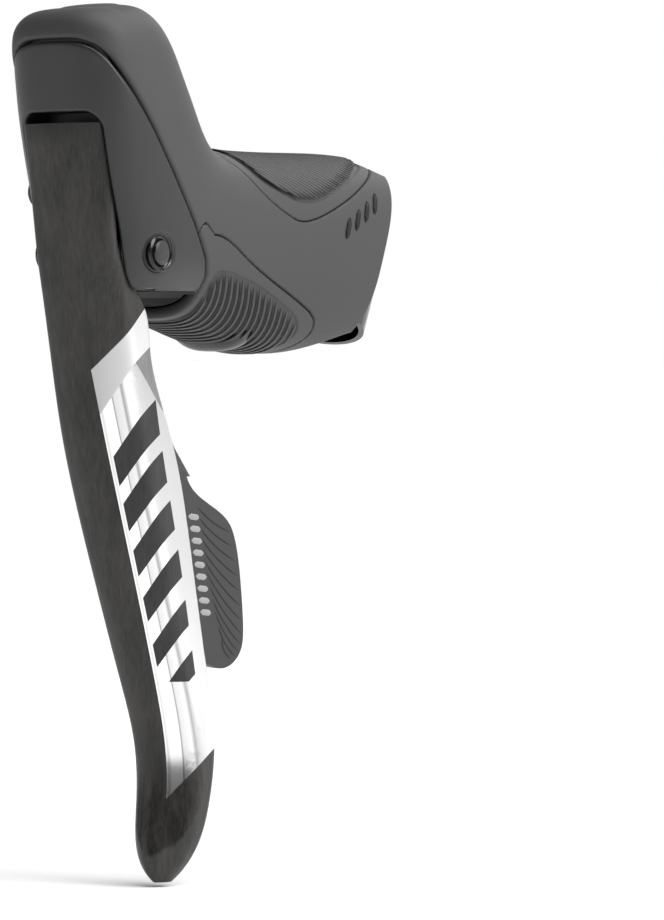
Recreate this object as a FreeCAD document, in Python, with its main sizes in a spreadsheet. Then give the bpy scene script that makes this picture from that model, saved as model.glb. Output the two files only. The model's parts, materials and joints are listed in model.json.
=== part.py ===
"""Left-hand brake and shift control for a drop handlebar, as a parametric FreeCAD document.

The object is a moulded body with a tall reservoir horn, covered by a rubber hood and clamped to the bar
by a steel band.  A wide composite brake blade swings on a cross pin in the fork of the body and works a
short upright master cylinder through a cam roller.  A shift paddle hangs behind the blade on its own pin.

Frame: millimetres, +Z up, -Y to the front of the bicycle, +X to the outer side.  The origin is the centre
of the handlebar clamp.  Most parts are laid out from the lever pivot, through the function place().
"""
import FreeCAD, Part

import math
import os

import Sketcher
from FreeCAD import Placement, Rotation, Vector

doc = FreeCAD.newDocument("BrakeShiftLever")

# ----------------------------------------------------------------------------------------------------
# Driving dimensions: alias, value, meaning
# ----------------------------------------------------------------------------------------------------
DIMENSIONS = [
    ("pivot_ahead", 80.0, "lever pivot, ahead of the clamp centre"),
    ("pivot_rise", 8.0, "lever pivot, above the clamp centre"),
    ("clamp_tilt", 25.0, "lean of the bar to the rear at its top, degrees"),
    ("bar_radius", 12.0, "radius of the handlebar"),
    ("seat_length", 20.0, "length of the body's seat on the bar"),
    ("seat_relief", 0.8, "relief of the body round the bar, past the seat"),
    ("band_width", 12.0, "width of the clamp band along the bar"),
    ("band_wall", 1.2, "thickness of the clamp band"),
    ("part_gap", 0.1, "room between two parts that lie together"),
    ("running_gap", 0.05, "radial clearance of a running fit"),
    ("hood_wall", 2.2, "thickness of the rubber hood"),
    ("hood_gap", 0.12, "room between the hood and the body"),
    ("hood_round_bar", 14.4, "radius of the hood's opening round the bar"),
    ("shell_drop", 0.35, "how far the bare front shell lies below the hood"),
    ("parting_gap", 0.5, "width of the groove between the hood and the front shell"),
    ("fork_half", 10.4, "half width of the fork for the blade"),
    ("fork_corner", 4.0, "corner radius at the top of the fork"),
    ("arm_sweep", 15.6, "radius of the cavity for the cam arm, about the pivot"),
    ("arm_half", 6.2, "half width of the cavity for the cam arm"),
    ("pin_radius", 2.7, "radius of the lever pivot pin"),
    ("pin_half", 13.2, "half length of the lever pivot pin"),
    ("pin_recess", 3.7, "radius of the counterbore round the pin's ends"),
    ("bush_wall", 0.8, "wall of the pivot bushings"),
    ("bush_length", 4.0, "length of one pivot bushing"),
    ("hub_radius", 5.4, "radius of the carrier's hub"),
    ("hub_half", 6.4, "half length of the carrier's hub"),
    ("collar_radius", 4.0, "radius of the collars at the hub's ends"),
    ("collar_half", 10.2, "half length over the collars"),
    ("cam_arm", 11.0, "distance from the pivot to the cam roller"),
    ("roller_radius", 3.6, "radius of the cam roller"),
    ("roller_half", 2.2, "half width of the cam roller"),
    ("roller_pin", 1.2, "radius of the cam roller's pin"),
    ("cheek_wall", 2.6, "thickness of each cheek of the cam arm"),
    ("sleeve_radius", 7.0, "outside radius of the master cylinder sleeve"),
    ("bore_radius", 5.0, "bore radius of the master cylinder"),
    ("sleeve_foot", 9.0, "lower end of the sleeve, above the pivot"),
    ("sleeve_length", 20.0, "length of the sleeve"),
    ("sleeve_end", 2.0, "thickness of the sleeve's closed end"),
    ("tappet_foot", 3.65, "lower face of the tappet, above the pivot"),
    ("tappet_radius", 3.0, "radius of the tappet"),
    ("piston_foot", 10.5, "lower face of the piston, above the pivot"),
    ("piston_length", 8.0, "length of the piston"),
    ("seal_wire", 0.5, "section radius of a piston seal"),
    ("spring_wire", 0.45, "section radius of the piston spring's wire"),
    ("bladder_radius", 5.8, "radius of the rubber bladder"),
    ("bladder_setback", -5.5, "bladder centre, behind the pivot"),
    ("bladder_foot", 34.0, "lower end of the bladder, above the pivot"),
    ("bladder_wall", 0.9, "wall of the bladder"),
    ("deck_height", 44.6, "flat deck under the reservoir cap, above the pivot"),
    ("flange_wall", 0.6, "thickness of the bladder's flange"),
    ("cap_half", 9.0, "half length of the reservoir cap"),
    ("cap_half_width", 7.5, "half width of the reservoir cap"),
    ("cap_wall", 2.0, "thickness of the reservoir cap"),
    ("cap_screw_offset", 7.15, "cap screws, from the cap's centre"),
    ("cell_radius", 10.0, "radius of the coin cell"),
    ("cell_wall", 3.2, "thickness of the coin cell"),
    ("bay_centre", 47.0, "centre of the electronics bay, behind the pivot"),
    ("bay_half", 12.0, "half length of the electronics bay"),
    ("bay_half_height", 10.6, "half height of the electronics bay"),
    ("hatch_face", 11.9, "outer face of the battery hatch, from the middle plane"),
    ("hatch_wall", 1.4, "thickness of the battery hatch"),
    ("hatch_rim", 2.0, "rim of the hatch over the bay on each side"),
    ("hatch_screw", 0.6, "shank radius of the hatch screws"),
    ("hatch_screw_head", 0.9, "head radius of the hatch screws"),
    ("board_wall", 1.2, "thickness of the main board"),
    ("board_face", 3.4, "outer face of the main board, from the middle plane"),
    ("bolt_offset", 9.0, "clamp bolt, from the middle plane"),
    ("bolt_radius", 2.45, "radius of the clamp bolt"),
    ("bolt_head", 3.9, "radius of the clamp bolt's head"),
    ("bolt_length", 27.0, "length of the clamp bolt's shank"),
    ("nut_ahead", 17.0, "clamp nut, ahead of the bar's centre"),
    ("nut_radius", 3.0, "radius of the clamp's barrel nut"),
    ("nut_length", 10.0, "length of the clamp's barrel nut"),
    ("hose_radius", 2.6, "radius of the passage for the brake hose"),
    ("hose_nut", 3.6, "radius of the hose nut"),
    ("hose_nut_length", 11.0, "length of the hose nut"),
    ("blade_wall", 2.3, "wall of the hollow blade"),
    ("paddle_wall", 2.6, "thickness of the shift paddle"),
    ("paddle_turn", 17.0, "angle of the paddle's plate to the fore-and-aft line, degrees"),
    ("paddle_offset", 4.4, "paddle pin, from the middle plane"),
    ("paddle_drop", 18.0, "paddle pin, below the lever pivot"),
    ("paddle_pin", 1.25, "radius of the paddle's pin"),
    ("paddle_barrel", 2.8, "radius of the paddle's barrel"),
    ("plunger_drop", 7.0, "switch plunger, below the paddle pin"),
    ("plunger_radius", 0.8, "radius of the switch plunger"),
    ("button_radius", 3.0, "radius of the function button"),
    ("button_length", 2.6, "length of the function button"),
    ("reach_radius", 1.5, "radius of the reach screw"),
    ("reach_rise", 16.0, "reach screw, above the pivot"),
    ("small_screw", 1.1, "shank radius of the small screws"),
    ("small_head", 1.9, "head radius of the small screws"),
    ("small_head_length", 1.1, "head height of the small screws"),
]
NAMES = sorted((entry[0] for entry in DIMENSIONS), key=len, reverse=True)

sheet = doc.addObject("Spreadsheet::Sheet", "Sizes")
for row, (alias, value, meaning) in enumerate(DIMENSIONS, start=1):
    sheet.set(f"A{row}", meaning)
    sheet.set(f"B{row}", str(value))
    sheet.setAlias(f"B{row}", alias)
doc.recompute()


def size(alias):
    """The value of one driving dimension."""
    return float(getattr(sheet, alias))


def formula(text):
    """An expression on the sheet: each <alias> becomes Sizes.alias."""
    text = str(text)
    for alias in NAMES:
        text = text.replace("<" + alias + ">", "Sizes." + alias)
    return text


def number(text):
    """The present value of such an expression."""
    text = str(text)
    for alias in NAMES:
        text = text.replace("<" + alias + ">", repr(size(alias)))
    return float(FreeCAD.Units.Quantity(text).Value)


# ----------------------------------------------------------------------------------------------------
# Places and directions
# ----------------------------------------------------------------------------------------------------
X_AXIS = Vector(1, 0, 0)
Y_AXIS = Vector(0, 1, 0)
Z_AXIS = Vector(0, 0, 1)
TILT = math.radians(size("clamp_tilt"))
BAR_AXIS = Vector(0, math.sin(TILT), math.cos(TILT))
BAR_FRONT = Vector(0, -math.cos(TILT), math.sin(TILT))
BAR_FRAME = Rotation(X_AXIS, -size("clamp_tilt"))
FAR = 60.0


def place(x, y, z):
    """A point laid out from the lever pivot: x to the outer side, y to the rear, z up."""
    return Vector(x, y - size("pivot_ahead"), z + size("pivot_rise"))


def at_bar(x, ahead, along):
    """A point laid out from the clamp centre: ahead of the bar, and up along it."""
    return X_AXIS * x + BAR_FRONT * ahead + BAR_AXIS * along


# ----------------------------------------------------------------------------------------------------
# Builders.  Every size given to one is an expression on the sheet.
# ----------------------------------------------------------------------------------------------------
published = []


def publish(obj, node):
    """Mark an object as one node of the assembly."""
    obj.Label = node
    published.append(obj)
    return obj


def primitive(kind, name, base, axis=Z_AXIS, **sizes):
    """A Part primitive with its sizes bound to the sheet and its own Z laid along axis."""
    obj = doc.addObject("Part::" + kind, name)
    for key, text in sizes.items():
        obj.setExpression(key, formula(text))
    obj.Placement = Placement(base, Rotation(Z_AXIS, axis))
    return obj


def cylinder(name, base, axis, radius, length):
    return primitive("Cylinder", name, base, axis, Radius=radius, Height=length)


def ring(name, base, axis, radius, section):
    return primitive("Torus", name, base, axis, Radius1=radius, Radius2=section)


def block(name, corner, length, width, height, turn=None):
    """A box from its lowest corner, with sizes along X, Y and Z before it is turned."""
    obj = primitive("Box", name, corner, Length=length, Width=width, Height=height)
    if turn is not None:
        obj.Placement = Placement(corner, turn)
    return obj


def join(name, *shapes):
    obj = doc.addObject("Part::MultiFuse", name)
    obj.Shapes = list(shapes)
    return obj


def cut(name, base, *tools):
    obj = doc.addObject("Part::Cut", name)
    obj.Base = base
    obj.Tool = tools[0] if len(tools) == 1 else join(name + "_tools", *tools)
    return obj


def carve(name, base, *stages):
    """Cut several rounds of tools from a base.  The tools of one round lie clear of each other."""
    for k, tools in enumerate(stages, start=1):
        last = k == len(stages)
        tool = tools[0] if len(tools) == 1 else group(f"{name}_round_{k}", *tools)
        base = cut(name if last else f"{name}_cut_{k}", base, tool)
    return base


def overlap(name, *shapes):
    obj = doc.addObject("Part::MultiCommon", name)
    obj.Shapes = list(shapes)
    return obj


def group(name, *shapes):
    obj = doc.addObject("Part::Compound", name)
    obj.Links = list(shapes)
    return obj


def feature(name, shape):
    """A free-form piece that neither a primitive nor a sketch makes."""
    obj = doc.addObject("Part::Feature", name)
    obj.Shape = shape
    return obj


def slab(name, outline, low, high):
    """A free outline of (y, z) points from the pivot, swept along X from low to high."""
    points = [place(low, y, z) for y, z in outline]
    face = Part.Face(Part.makePolygon(points + points[:1]))
    return feature(name, face.extrude(X_AXIS * (high - low)))


def outline_sketch(body, name, plane, outline):
    """A closed outline of straight lines, each corner held by its two distances from the origin."""
    sketch = body.newObject("Sketcher::SketchObject", name)
    support = next(item for item in body.Origin.OriginFeatures if item.Role == plane)
    sketch.AttachmentSupport = [(support, "")]
    sketch.MapMode = "FlatFace"
    corners = [(number(across), number(up)) for across, up in outline]
    count = len(corners)
    for k in range(count):
        here = Vector(*corners[k], 0)
        there = Vector(*corners[(k + 1) % count], 0)
        sketch.addGeometry(Part.LineSegment(here, there))
    for k in range(count):
        sketch.addConstraint(Sketcher.Constraint("Coincident", k, 2, (k + 1) % count, 1))
    for k in range(count):
        for kind, axis, text, value in (
            ("DistanceX", -2, outline[k][0], corners[k][0]),
            ("DistanceY", -1, outline[k][1], corners[k][1]),
        ):
            if value == 0:
                sketch.addConstraint(Sketcher.Constraint("PointOnObject", k, 1, axis))
                continue
            index = sketch.addConstraint(Sketcher.Constraint(kind, -1, 1, k, 1, value))
            if "<" in str(text):
                sketch.setExpression(f"Constraints[{index}]", formula(text))
    return sketch


def turned(name, outline, base, axis=Z_AXIS):
    """A turned part: an outline of (radius, height) points revolved about its own Z."""
    body = doc.addObject("PartDesign::Body", name)
    sketch = outline_sketch(body, name + "_outline", "XZ_Plane", outline)
    turn = body.newObject("PartDesign::Revolution", name + "_turned")
    turn.Profile = sketch
    turn.ReferenceAxis = (sketch, ["V_Axis"])
    turn.Angle = 360
    body.Tip = turn
    body.Placement = Placement(base, Rotation(Z_AXIS, axis))
    return body


def plate(name, outline, thickness, base, turn=Rotation()):
    """A flat part: an outline of (x, y) points padded along its own Z."""
    body = doc.addObject("PartDesign::Body", name)
    sketch = outline_sketch(body, name + "_outline", "XY_Plane", outline)
    pad = body.newObject("PartDesign::Pad", name + "_pad")
    pad.Profile = sketch
    pad.setExpression("Length", formula(thickness))
    body.Tip = pad
    body.Placement = Placement(base, turn)
    return body


def screw(name, base, axis, shank, length, head, head_length, socket):
    """A socket screw.  base is the end of the shank, and axis points to the head."""
    top = f"({length}) + ({head_length})"
    floor = f"({length}) + ({head_length}) * 0.35"
    outline = [
        ("0", "0"),
        (shank, "0"),
        (shank, length),
        (head, length),
        (head, top),
        (socket, top),
        (socket, floor),
        ("0", floor),
    ]
    return turned(name, outline, base, axis)


def small_screw(name, base, axis, length):
    return screw(name, base, axis, "<small_screw>", length, "<small_head>", "<small_head_length>", "0.9")


def grub_screw(name, base, axis, shank, length, socket):
    """A headless screw.  base is its plain end, and axis points to the end with the socket."""
    floor = f"({length}) * 0.6"
    outline = [("0", "0"), (shank, "0"), (shank, length), (socket, length), (socket, floor), ("0", floor)]
    return turned(name, outline, base, axis)


def coil(name, base, axis, radius, wire, pitch, height):
    """A wound spring: a round wire swept along a helix."""
    spine = doc.addObject("Part::Helix", name + "_line")
    spine.setExpression("Radius", formula(radius))
    spine.setExpression("Pitch", formula(pitch))
    spine.setExpression("Height", formula(height))
    section = doc.addObject("Part::Circle", name + "_wire")
    section.setExpression("Radius", formula(wire))
    section.Placement = Placement(Vector(number(radius), 0, 0), Rotation(X_AXIS, 90))
    spine.recompute()
    sweep = doc.addObject("Part::Sweep", name)
    sweep.Sections = [section]
    sweep.Spine = (spine, ["Edge%d" % (k + 1) for k in range(len(spine.Shape.Edges))])
    sweep.Solid = True
    sweep.Frenet = True
    sweep.Placement = Placement(base, Rotation(Z_AXIS, axis))
    return sweep


# ----------------------------------------------------------------------------------------------------
# The skin: one bent boot, from the top of the horn to the rear of the grip.  Each station is a rounded
# section between a point on the rear or top side and one on the front or lower side.
# ----------------------------------------------------------------------------------------------------
SKIN = [  # rear or top y and z, front or lower y and z, half width, squareness
    (0.0, 52.7, -10.0, 52.7, 6.0, 2.4),
    (3.5, 51.5, -15.5, 51.5, 10.5, 2.6),
    (6.5, 49.0, -18.0, 49.0, 13.0, 2.8),
    (9.8, 45.0, -19.0, 45.0, 14.5, 3.0),
    (14.5, 38.0, -18.3, 38.0, 15.3, 3.0),
    (18.2, 32.2, -17.0, 30.0, 15.7, 3.0),
    (21.3, 28.2, -14.0, 16.5, 15.8, 3.0),
    (24.6, 25.2, -10.0, 1.5, 15.9, 3.0),
    (28.4, 23.6, -6.0, -9.6, 15.9, 2.9),
    (32.6, 23.0, 11.7, -13.2, 16.0, 2.8),
    (38.0, 22.8, 33.0, -17.6, 16.2, 2.7),
    (52.0, 22.8, 48.0, -20.4, 17.0, 2.6),
    (66.0, 23.1, 58.0, -21.1, 17.9, 2.7),
    (78.0, 23.2, 66.0, -21.2, 18.5, 2.85),
    (90.0, 22.6, 72.0, -20.5, 18.8, 3.0),
]
SKIN_POINTS = 32
HORN_TOP = SKIN[0][1]
HORN_SHOULDER = 38.0


def power(value, exponent):
    """A signed power, for a rounded section."""
    return math.copysign(abs(value) ** exponent, value)


def skin_section(station, inset):
    """One closed section of the skin, drawn in by inset."""
    rear_y, rear_z, front_y, front_z, half_width, squareness = station
    rear = Vector(0, rear_y, rear_z)
    front = Vector(0, front_y, front_z)
    middle = (rear + front) * 0.5
    reach = rear - front
    along = Vector(reach).normalize()
    half_length = reach.Length / 2 - inset
    drop = inset * max(0.0, min(rear_z, front_z) - HORN_SHOULDER) / (HORN_TOP - HORN_SHOULDER)
    points = []
    for k in range(SKIN_POINTS):
        angle = 2 * math.pi * k / SKIN_POINTS
        side = power(math.cos(angle), 2 / squareness) * (half_width - inset)
        run = power(math.sin(angle), 2 / squareness) * half_length
        point = middle + along * run
        points.append(place(side, point.y, point.z - drop))
    curve = Part.BSplineCurve()
    curve.interpolate(Points=points, PeriodicFlag=True)
    return Part.Wire(curve.toShape())


def skin(name, inset):
    """The solid inside the skin drawn in by inset."""
    return feature(name, Part.makeLoft([skin_section(station, inset) for station in SKIN], True, False))


# The line where the hood ends and the bare front shell begins, seen from the side.
PARTING = [(-26.0, 46.0), (-19.0, 43.4), (-17.2, 41.8), (-15.0, 39.5), (-3.1, 25.0), (3.4, 16.6), (10.7, 6.5),
           (15.0, -1.0), (16.1, -5.0), (15.2, -8.5), (13.5, -24.0)]
PARTING_FRONT = [(-FAR, -24.0), (-FAR, 46.0)]
groove_step = size("parting_gap") * math.sqrt(0.5)
front_region = slab("front_region", PARTING + PARTING_FRONT, -FAR, FAR)
hood_line = [(y + groove_step, z + groove_step) for y, z in PARTING]
hood_limit = slab("hood_limit", hood_line + PARTING_FRONT, -FAR, FAR)

# ----------------------------------------------------------------------------------------------------
# Main body
# ----------------------------------------------------------------------------------------------------
clearance = size("part_gap")
fork = size("fork_half")
core = skin("core", size("hood_wall") + size("hood_gap"))
shell = skin("shell", size("shell_drop"))
moulding = join("moulding", core, overlap("front_shell", shell, front_region))

# The fork: open to the front and below, with rounded upper corners.
FORK_SIDE = [(-FAR, 29.0), (-7.6, 29.0), (-4.0, 11.0), (6.6, 7.4), (9.4, 2.0), (13.0, -8.0), (13.6, -FAR),
             (-FAR, -FAR)]
fork_side = slab("fork_side", FORK_SIDE, -fork, fork)
fork_blank = block("fork_blank", place(-fork, -FAR, -FAR), "2 * <fork_half>", "2 * 60", "60 + 29")
fork_blank.recompute()
fork_front = doc.addObject("Part::Fillet", "fork_front")
fork_front.Base = fork_blank
upper_edges = [
    k + 1
    for k, edge in enumerate(fork_blank.Shape.Edges)
    if abs(edge.BoundBox.ZMin - place(0, 0, 29).z) < 1e-6 and edge.BoundBox.YLength > FAR
]
fork_front.Edges = [(k, size("fork_corner"), size("fork_corner")) for k in upper_edges]
fork_space = overlap("fork_space", fork_side, fork_front)

# The wings of the front shell end above a gap, with a rounded corner at the front.
WING_FOOT = -7.8
WING_SIDE = [(-FAR, -2.4), (-8.8, -2.4), (-8.4, -4.6), (-7.2, -6.3), (-5.4, -7.4), (-3.4, WING_FOOT),
             (14.8, WING_FOOT), (15.6, -9.2), (15.6, -FAR), (-FAR, -FAR)]
wing_space = slab("wing_space", WING_SIDE, -FAR, FAR)

arm_space = cylinder("arm_space", place(-size("arm_half"), 0, 0), X_AXIS, "<arm_sweep>", "2 * <arm_half>")
pin_hole = cylinder("pin_hole", place(-FAR, 0, 0), X_AXIS, "<pin_radius> + <running_gap>", "120")
pin_recesses = group(
    "pin_recesses",
    cylinder("pin_recess_outer", place(size("pin_half") + 0.2, 0, 0), X_AXIS, "<pin_recess>", "30"),
    cylinder("pin_recess_inner", place(-size("pin_half") - 30.2, 0, 0), X_AXIS, "<pin_recess>", "30"),
)
lock_hole = cylinder("lock_hole", place(12.0, 0, -FAR), Z_AXIS, "<small_screw> + <running_gap>", "60")
SLEEVE_FOOT = place(0, size("cam_arm"), size("sleeve_foot"))
sleeve_space = cylinder("sleeve_space", SLEEVE_FOOT, Z_AXIS, "<sleeve_radius> + <running_gap>",
                        "<sleeve_length>")
tappet_way = cylinder("tappet_way", place(0, size("cam_arm"), 2.0), Z_AXIS, "<tappet_radius> + <part_gap>",
                      "<sleeve_foot> - 1.9")

bladder_y = size("bladder_setback")
BLADDER_FOOT = place(0, bladder_y, size("bladder_foot"))
bladder_space = cylinder(
    "bladder_space", BLADDER_FOOT - Z_AXIS * clearance, Z_AXIS, "<bladder_radius> + <part_gap>", "20"
)
cap_space = block(
    "cap_space",
    place(-size("cap_half_width") - clearance, bladder_y - size("cap_half") - clearance, size("deck_height")),
    "2 * (<cap_half_width> + <part_gap>)",
    "2 * (<cap_half> + <part_gap>)",
    "20",
)


def cap_screw_places(height):
    """Both screws of the reservoir cap, at a height above the pivot."""
    offset = size("cap_screw_offset")
    return [place(0, bladder_y + side * offset, height) for side in (-1, 1)]


cap_screw_holes = [
    cylinder(f"cap_screw_hole_{k}", point, Z_AXIS, "<small_screw> + <running_gap>", "12")
    for k, point in enumerate(cap_screw_places(size("deck_height") - 6.2), start=1)
]

# Drilled oil ways: reservoir to cylinder, and cylinder to hose.
OIL_WAY = "0.7"
feed_from = place(0, -1.0, size("bladder_foot") + 0.5)
feed_to = place(0, size("cam_arm") - size("bore_radius") + 0.8, 25.6)
HOSE_END = place(-5.0, 40.0, 15.7)
supply_from = place(0, size("cam_arm") + 2.0, 26.2)
supply_to = HOSE_END + Y_AXIS * 0.5


def oil_way(name, start, end):
    run = end - start
    return cylinder(name, start, run, OIL_WAY, str(run.Length))


feed_way = oil_way("feed_way", feed_from, feed_to)
supply_way = oil_way("supply_way", supply_from, supply_to)
hose_space = join(
    "hose_space",
    cylinder("hose_way", HOSE_END, Y_AXIS, "<hose_nut> + <part_gap>", "60"),
    block("hose_groove", HOSE_END + Vector(-size("hose_nut") - clearance, size("hose_nut_length") + 1.0, 0),
          "2 * (<hose_nut> + <part_gap>)", "48", "30"),
)

# Electronics bay, open to the inner side under the hood.
bay_y = size("bay_centre")
bay_half = size("bay_half")
bay_tall = size("bay_half_height")
rim = size("hatch_rim")
face = size("hatch_face")
bay = block(
    "bay", place(-FAR, bay_y - bay_half, -bay_tall), "60 - 1.8", "2 * <bay_half>", "2 * <bay_half_height>"
)
hatch_seat = block(
    "hatch_seat",
    place(-FAR, bay_y - bay_half - rim - clearance, -bay_tall - rim - clearance),
    "60 - (<hatch_face> - <hatch_wall> - 0.8)",
    "2 * (<bay_half> + <hatch_rim> + <part_gap>)",
    "2 * (<bay_half_height> + <hatch_rim> + <part_gap>)",
)


def hatch_screw_places(side):
    """Both screws of the battery hatch, on opposite corners, at a distance from the middle plane."""
    across = bay_half + rim * 0.5
    up = bay_tall - 2.5
    return [place(side, bay_y - across, up), place(side, bay_y + across, -up)]


hatch_screw_holes = [
    cylinder(f"hatch_screw_hole_{k}", point, -X_AXIS, "<hatch_screw> + <running_gap>", "12")
    for k, point in enumerate(hatch_screw_places(-5.0), start=1)
]

# The seat on the bar, the band's slots, and the room for its nut and bolt.
bar_space = cylinder("bar_space", at_bar(0, 0, -FAR), BAR_AXIS, "<bar_radius>", "120")
bar_reliefs = group(
    "bar_reliefs",
    cylinder("bar_relief_upper", at_bar(0, 0, size("seat_length") / 2), BAR_AXIS,
             "<bar_radius> + <seat_relief>", "60"),
    cylinder("bar_relief_lower", at_bar(0, 0, -FAR - size("seat_length") / 2), BAR_AXIS,
             "<bar_radius> + <seat_relief>", "60"),
)
band_half = size("band_width") / 2
band_out = size("bar_radius") + size("band_wall")
TONGUE_OUTER = 20.0
TONGUE_INNER = 9.0


def bar_block(name, x, ahead, along, length, width, height):
    """A box in the clamp's own directions, from its lowest corner: across, to the rear, along the bar."""
    return block(name, at_bar(x, ahead, along), length, width, height, BAR_FRAME)


band_slots = [
    cylinder("band_slot_ring", at_bar(0, 0, -band_half - clearance), BAR_AXIS,
             "<bar_radius> + <band_wall> + <part_gap>", "<band_width> + 2 * <part_gap>"),
    bar_block("band_slot_outer", size("bar_radius") - clearance, TONGUE_OUTER + clearance,
              -band_half - clearance, "<band_wall> + 2 * <part_gap>", "40", "<band_width> + 2 * <part_gap>"),
    bar_block("band_slot_inner", -band_out - clearance, TONGUE_INNER + clearance,
              -band_half - clearance, "<band_wall> + 2 * <part_gap>", "40", "<band_width> + 2 * <part_gap>"),
    bar_block("band_hook_slot", -band_out - 1.3, TONGUE_INNER + clearance,
              -band_half - clearance, "1.6", "2.2", "<band_width> + 2 * <part_gap>"),
]
bolt_x = size("bolt_offset")
nut_ahead = size("nut_ahead")
nut_space = cylinder("nut_space", at_bar(bolt_x, nut_ahead, -6.0), BAR_AXIS,
                     "<nut_radius> + <part_gap>", "12")
nut_way = bar_block("nut_way", bolt_x - 3.1, nut_ahead, -6.0, "2 * (<nut_radius> + <part_gap>)", "20", "12")
bolt_hole = cylinder("bolt_hole", at_bar(bolt_x, 8.0, 0), BAR_FRONT, "<bolt_radius> + <part_gap>", "40")
HEAD_AHEAD = nut_ahead - 3.5 + size("bolt_length")
head_space = cylinder("head_space", at_bar(bolt_x, HEAD_AHEAD - 0.9, 0), BAR_FRONT, "<bolt_head> + 0.3", "7")
key_way = cylinder("key_way", at_bar(bolt_x, HEAD_AHEAD + 1.0, 0), BAR_FRONT * 0.8 + X_AXIS * 0.6,
                   "<bolt_head>", "40")

# The function button's hole and the room for its board, in the inner wing.
BUTTON = (-3.5, 13.0)
BUTTON_FACE = -15.3
LIGHT_RISE = 6.5
button_hole = cylinder("button_hole", place(-FAR, *BUTTON), X_AXIS, "<button_radius> + <running_gap>",
                       "60 - 12")
light_hole = cylinder("light_hole", place(-FAR, BUTTON[0], BUTTON[1] + LIGHT_RISE), X_AXIS,
                      "0.8 + <running_gap>", "60 - 12")
board_space = block("board_space", place(-12.1, BUTTON[0] - 4.2, BUTTON[1] - 4.2), "1.8", "8.4", "13.0")

main_body = carve(
    "main_body",
    moulding,
    [fork_space],
    [wing_space],
    [arm_space, bladder_space, bay, bar_space],
    [sleeve_space, cap_space, hatch_seat, bar_reliefs, nut_space],
    [pin_hole, tappet_way, *cap_screw_holes, *hatch_screw_holes, feed_way, nut_way],
    [pin_recesses, lock_hole, supply_way, band_slots[0], button_hole, light_hole],
    [*band_slots[1:3], bolt_hole, hose_space, board_space],
    [band_slots[3], head_space],
    [key_way],
)
publish(main_body, "main_body")

# ----------------------------------------------------------------------------------------------------
# Hood
# ----------------------------------------------------------------------------------------------------
outer_skin = skin("outer_skin", 0.0)
hood_hollow = skin("hood_hollow", size("hood_wall"))
hood_bar = cylinder("hood_bar", at_bar(0, 0, -FAR), BAR_AXIS, "<hood_round_bar>", "120")
publish(cut("hood", outer_skin, hood_hollow, hood_limit, hood_bar), "hood")

# ----------------------------------------------------------------------------------------------------
# Pivot, cylinder and reservoir
# ----------------------------------------------------------------------------------------------------
pin_half = size("pin_half")
pin_outline = [
    ("0", "0"),
    ("<pin_radius> - 0.5", "0"),
    ("<pin_radius>", "0.5"),
    ("<pin_radius>", "2 * <pin_half> - 0.5"),
    ("<pin_radius> - 0.5", "2 * <pin_half>"),
    ("1.3", "2 * <pin_half>"),
    ("1.3", "2 * <pin_half> - 1.6"),
    ("0", "2 * <pin_half> - 1.6"),
]
publish(turned("pivot_pin", pin_outline, place(-pin_half, 0, 0), X_AXIS), "pivot_pin")
LOCK_TOP = place(12.0, 0, -size("pin_radius") - 0.1)
publish(grub_screw("pivot_lock_screw", LOCK_TOP, -Z_AXIS, "<small_screw>", "3.2", "0.6"), "pivot_lock_screw")

sleeve_outline = [
    ("<bore_radius>", "0"),
    ("<sleeve_radius>", "0"),
    ("<sleeve_radius>", "<sleeve_length>"),
    ("0", "<sleeve_length>"),
    ("0", "<sleeve_length> - <sleeve_end>"),
    ("<bore_radius>", "<sleeve_length> - <sleeve_end>"),
]
sleeve = turned("sleeve_turned", sleeve_outline, SLEEVE_FOOT)
sleeve_ways = group(
    "sleeve_ways",
    oil_way("sleeve_feed_way", feed_from, feed_to),
    oil_way("sleeve_supply_way", supply_from, supply_to),
)
publish(cut("master_cylinder", sleeve, sleeve_ways), "master_cylinder")

piston_top = size("piston_foot") + size("piston_length")
spring_foot = place(0, size("cam_arm"), piston_top + size("spring_wire") + 0.1)
publish(coil("piston_spring", spring_foot, Z_AXIS, "3.4", "<spring_wire>", "1.8", "7.2"), "piston_spring")

bladder_outline = [
    ("0", "0"),
    ("<bladder_radius>", "0"),
    ("<bladder_radius>", "<deck_height> - <bladder_foot>"),
    ("<bladder_radius> + 0.8", "<deck_height> - <bladder_foot>"),
    ("<bladder_radius> + 0.8", "<deck_height> - <bladder_foot> + <flange_wall>"),
    ("<bladder_radius> - <bladder_wall>", "<deck_height> - <bladder_foot> + <flange_wall>"),
    ("<bladder_radius> - <bladder_wall>", "<bladder_wall>"),
    ("0", "<bladder_wall>"),
]
bladder = turned("bladder_blank", bladder_outline, BLADDER_FOOT)
publish(cut("reservoir_bladder", bladder, *cap_screw_holes), "reservoir_bladder")

cap_foot = size("deck_height") + size("flange_wall")
cap_top = cap_foot + size("cap_wall")
CAP_CUT = "2.4"
cap_outline = [
    ("-<cap_half_width> + " + CAP_CUT, "-<cap_half>"),
    ("<cap_half_width> - " + CAP_CUT, "-<cap_half>"),
    ("<cap_half_width>", "-<cap_half> + " + CAP_CUT),
    ("<cap_half_width>", "<cap_half> - " + CAP_CUT),
    ("<cap_half_width> - " + CAP_CUT, "<cap_half>"),
    ("-<cap_half_width> + " + CAP_CUT, "<cap_half>"),
    ("-<cap_half_width>", "<cap_half> - " + CAP_CUT),
    ("-<cap_half_width>", "-<cap_half> + " + CAP_CUT),
]
cap_plate = plate("cap_plate", cap_outline, "<cap_wall>", place(0, bladder_y, cap_foot))
cap_holes = [
    cylinder(f"cap_hole_{k}", point, Z_AXIS, "<small_screw> + <running_gap>", "12")
    for k, point in enumerate(cap_screw_places(cap_foot - 1), start=1)
]
cap_sinks = [
    cylinder(f"cap_sink_{k}", point, Z_AXIS, "<small_head> + <part_gap>", "12")
    for k, point in enumerate(cap_screw_places(cap_top - size("small_head_length")), start=1)
]
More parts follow.
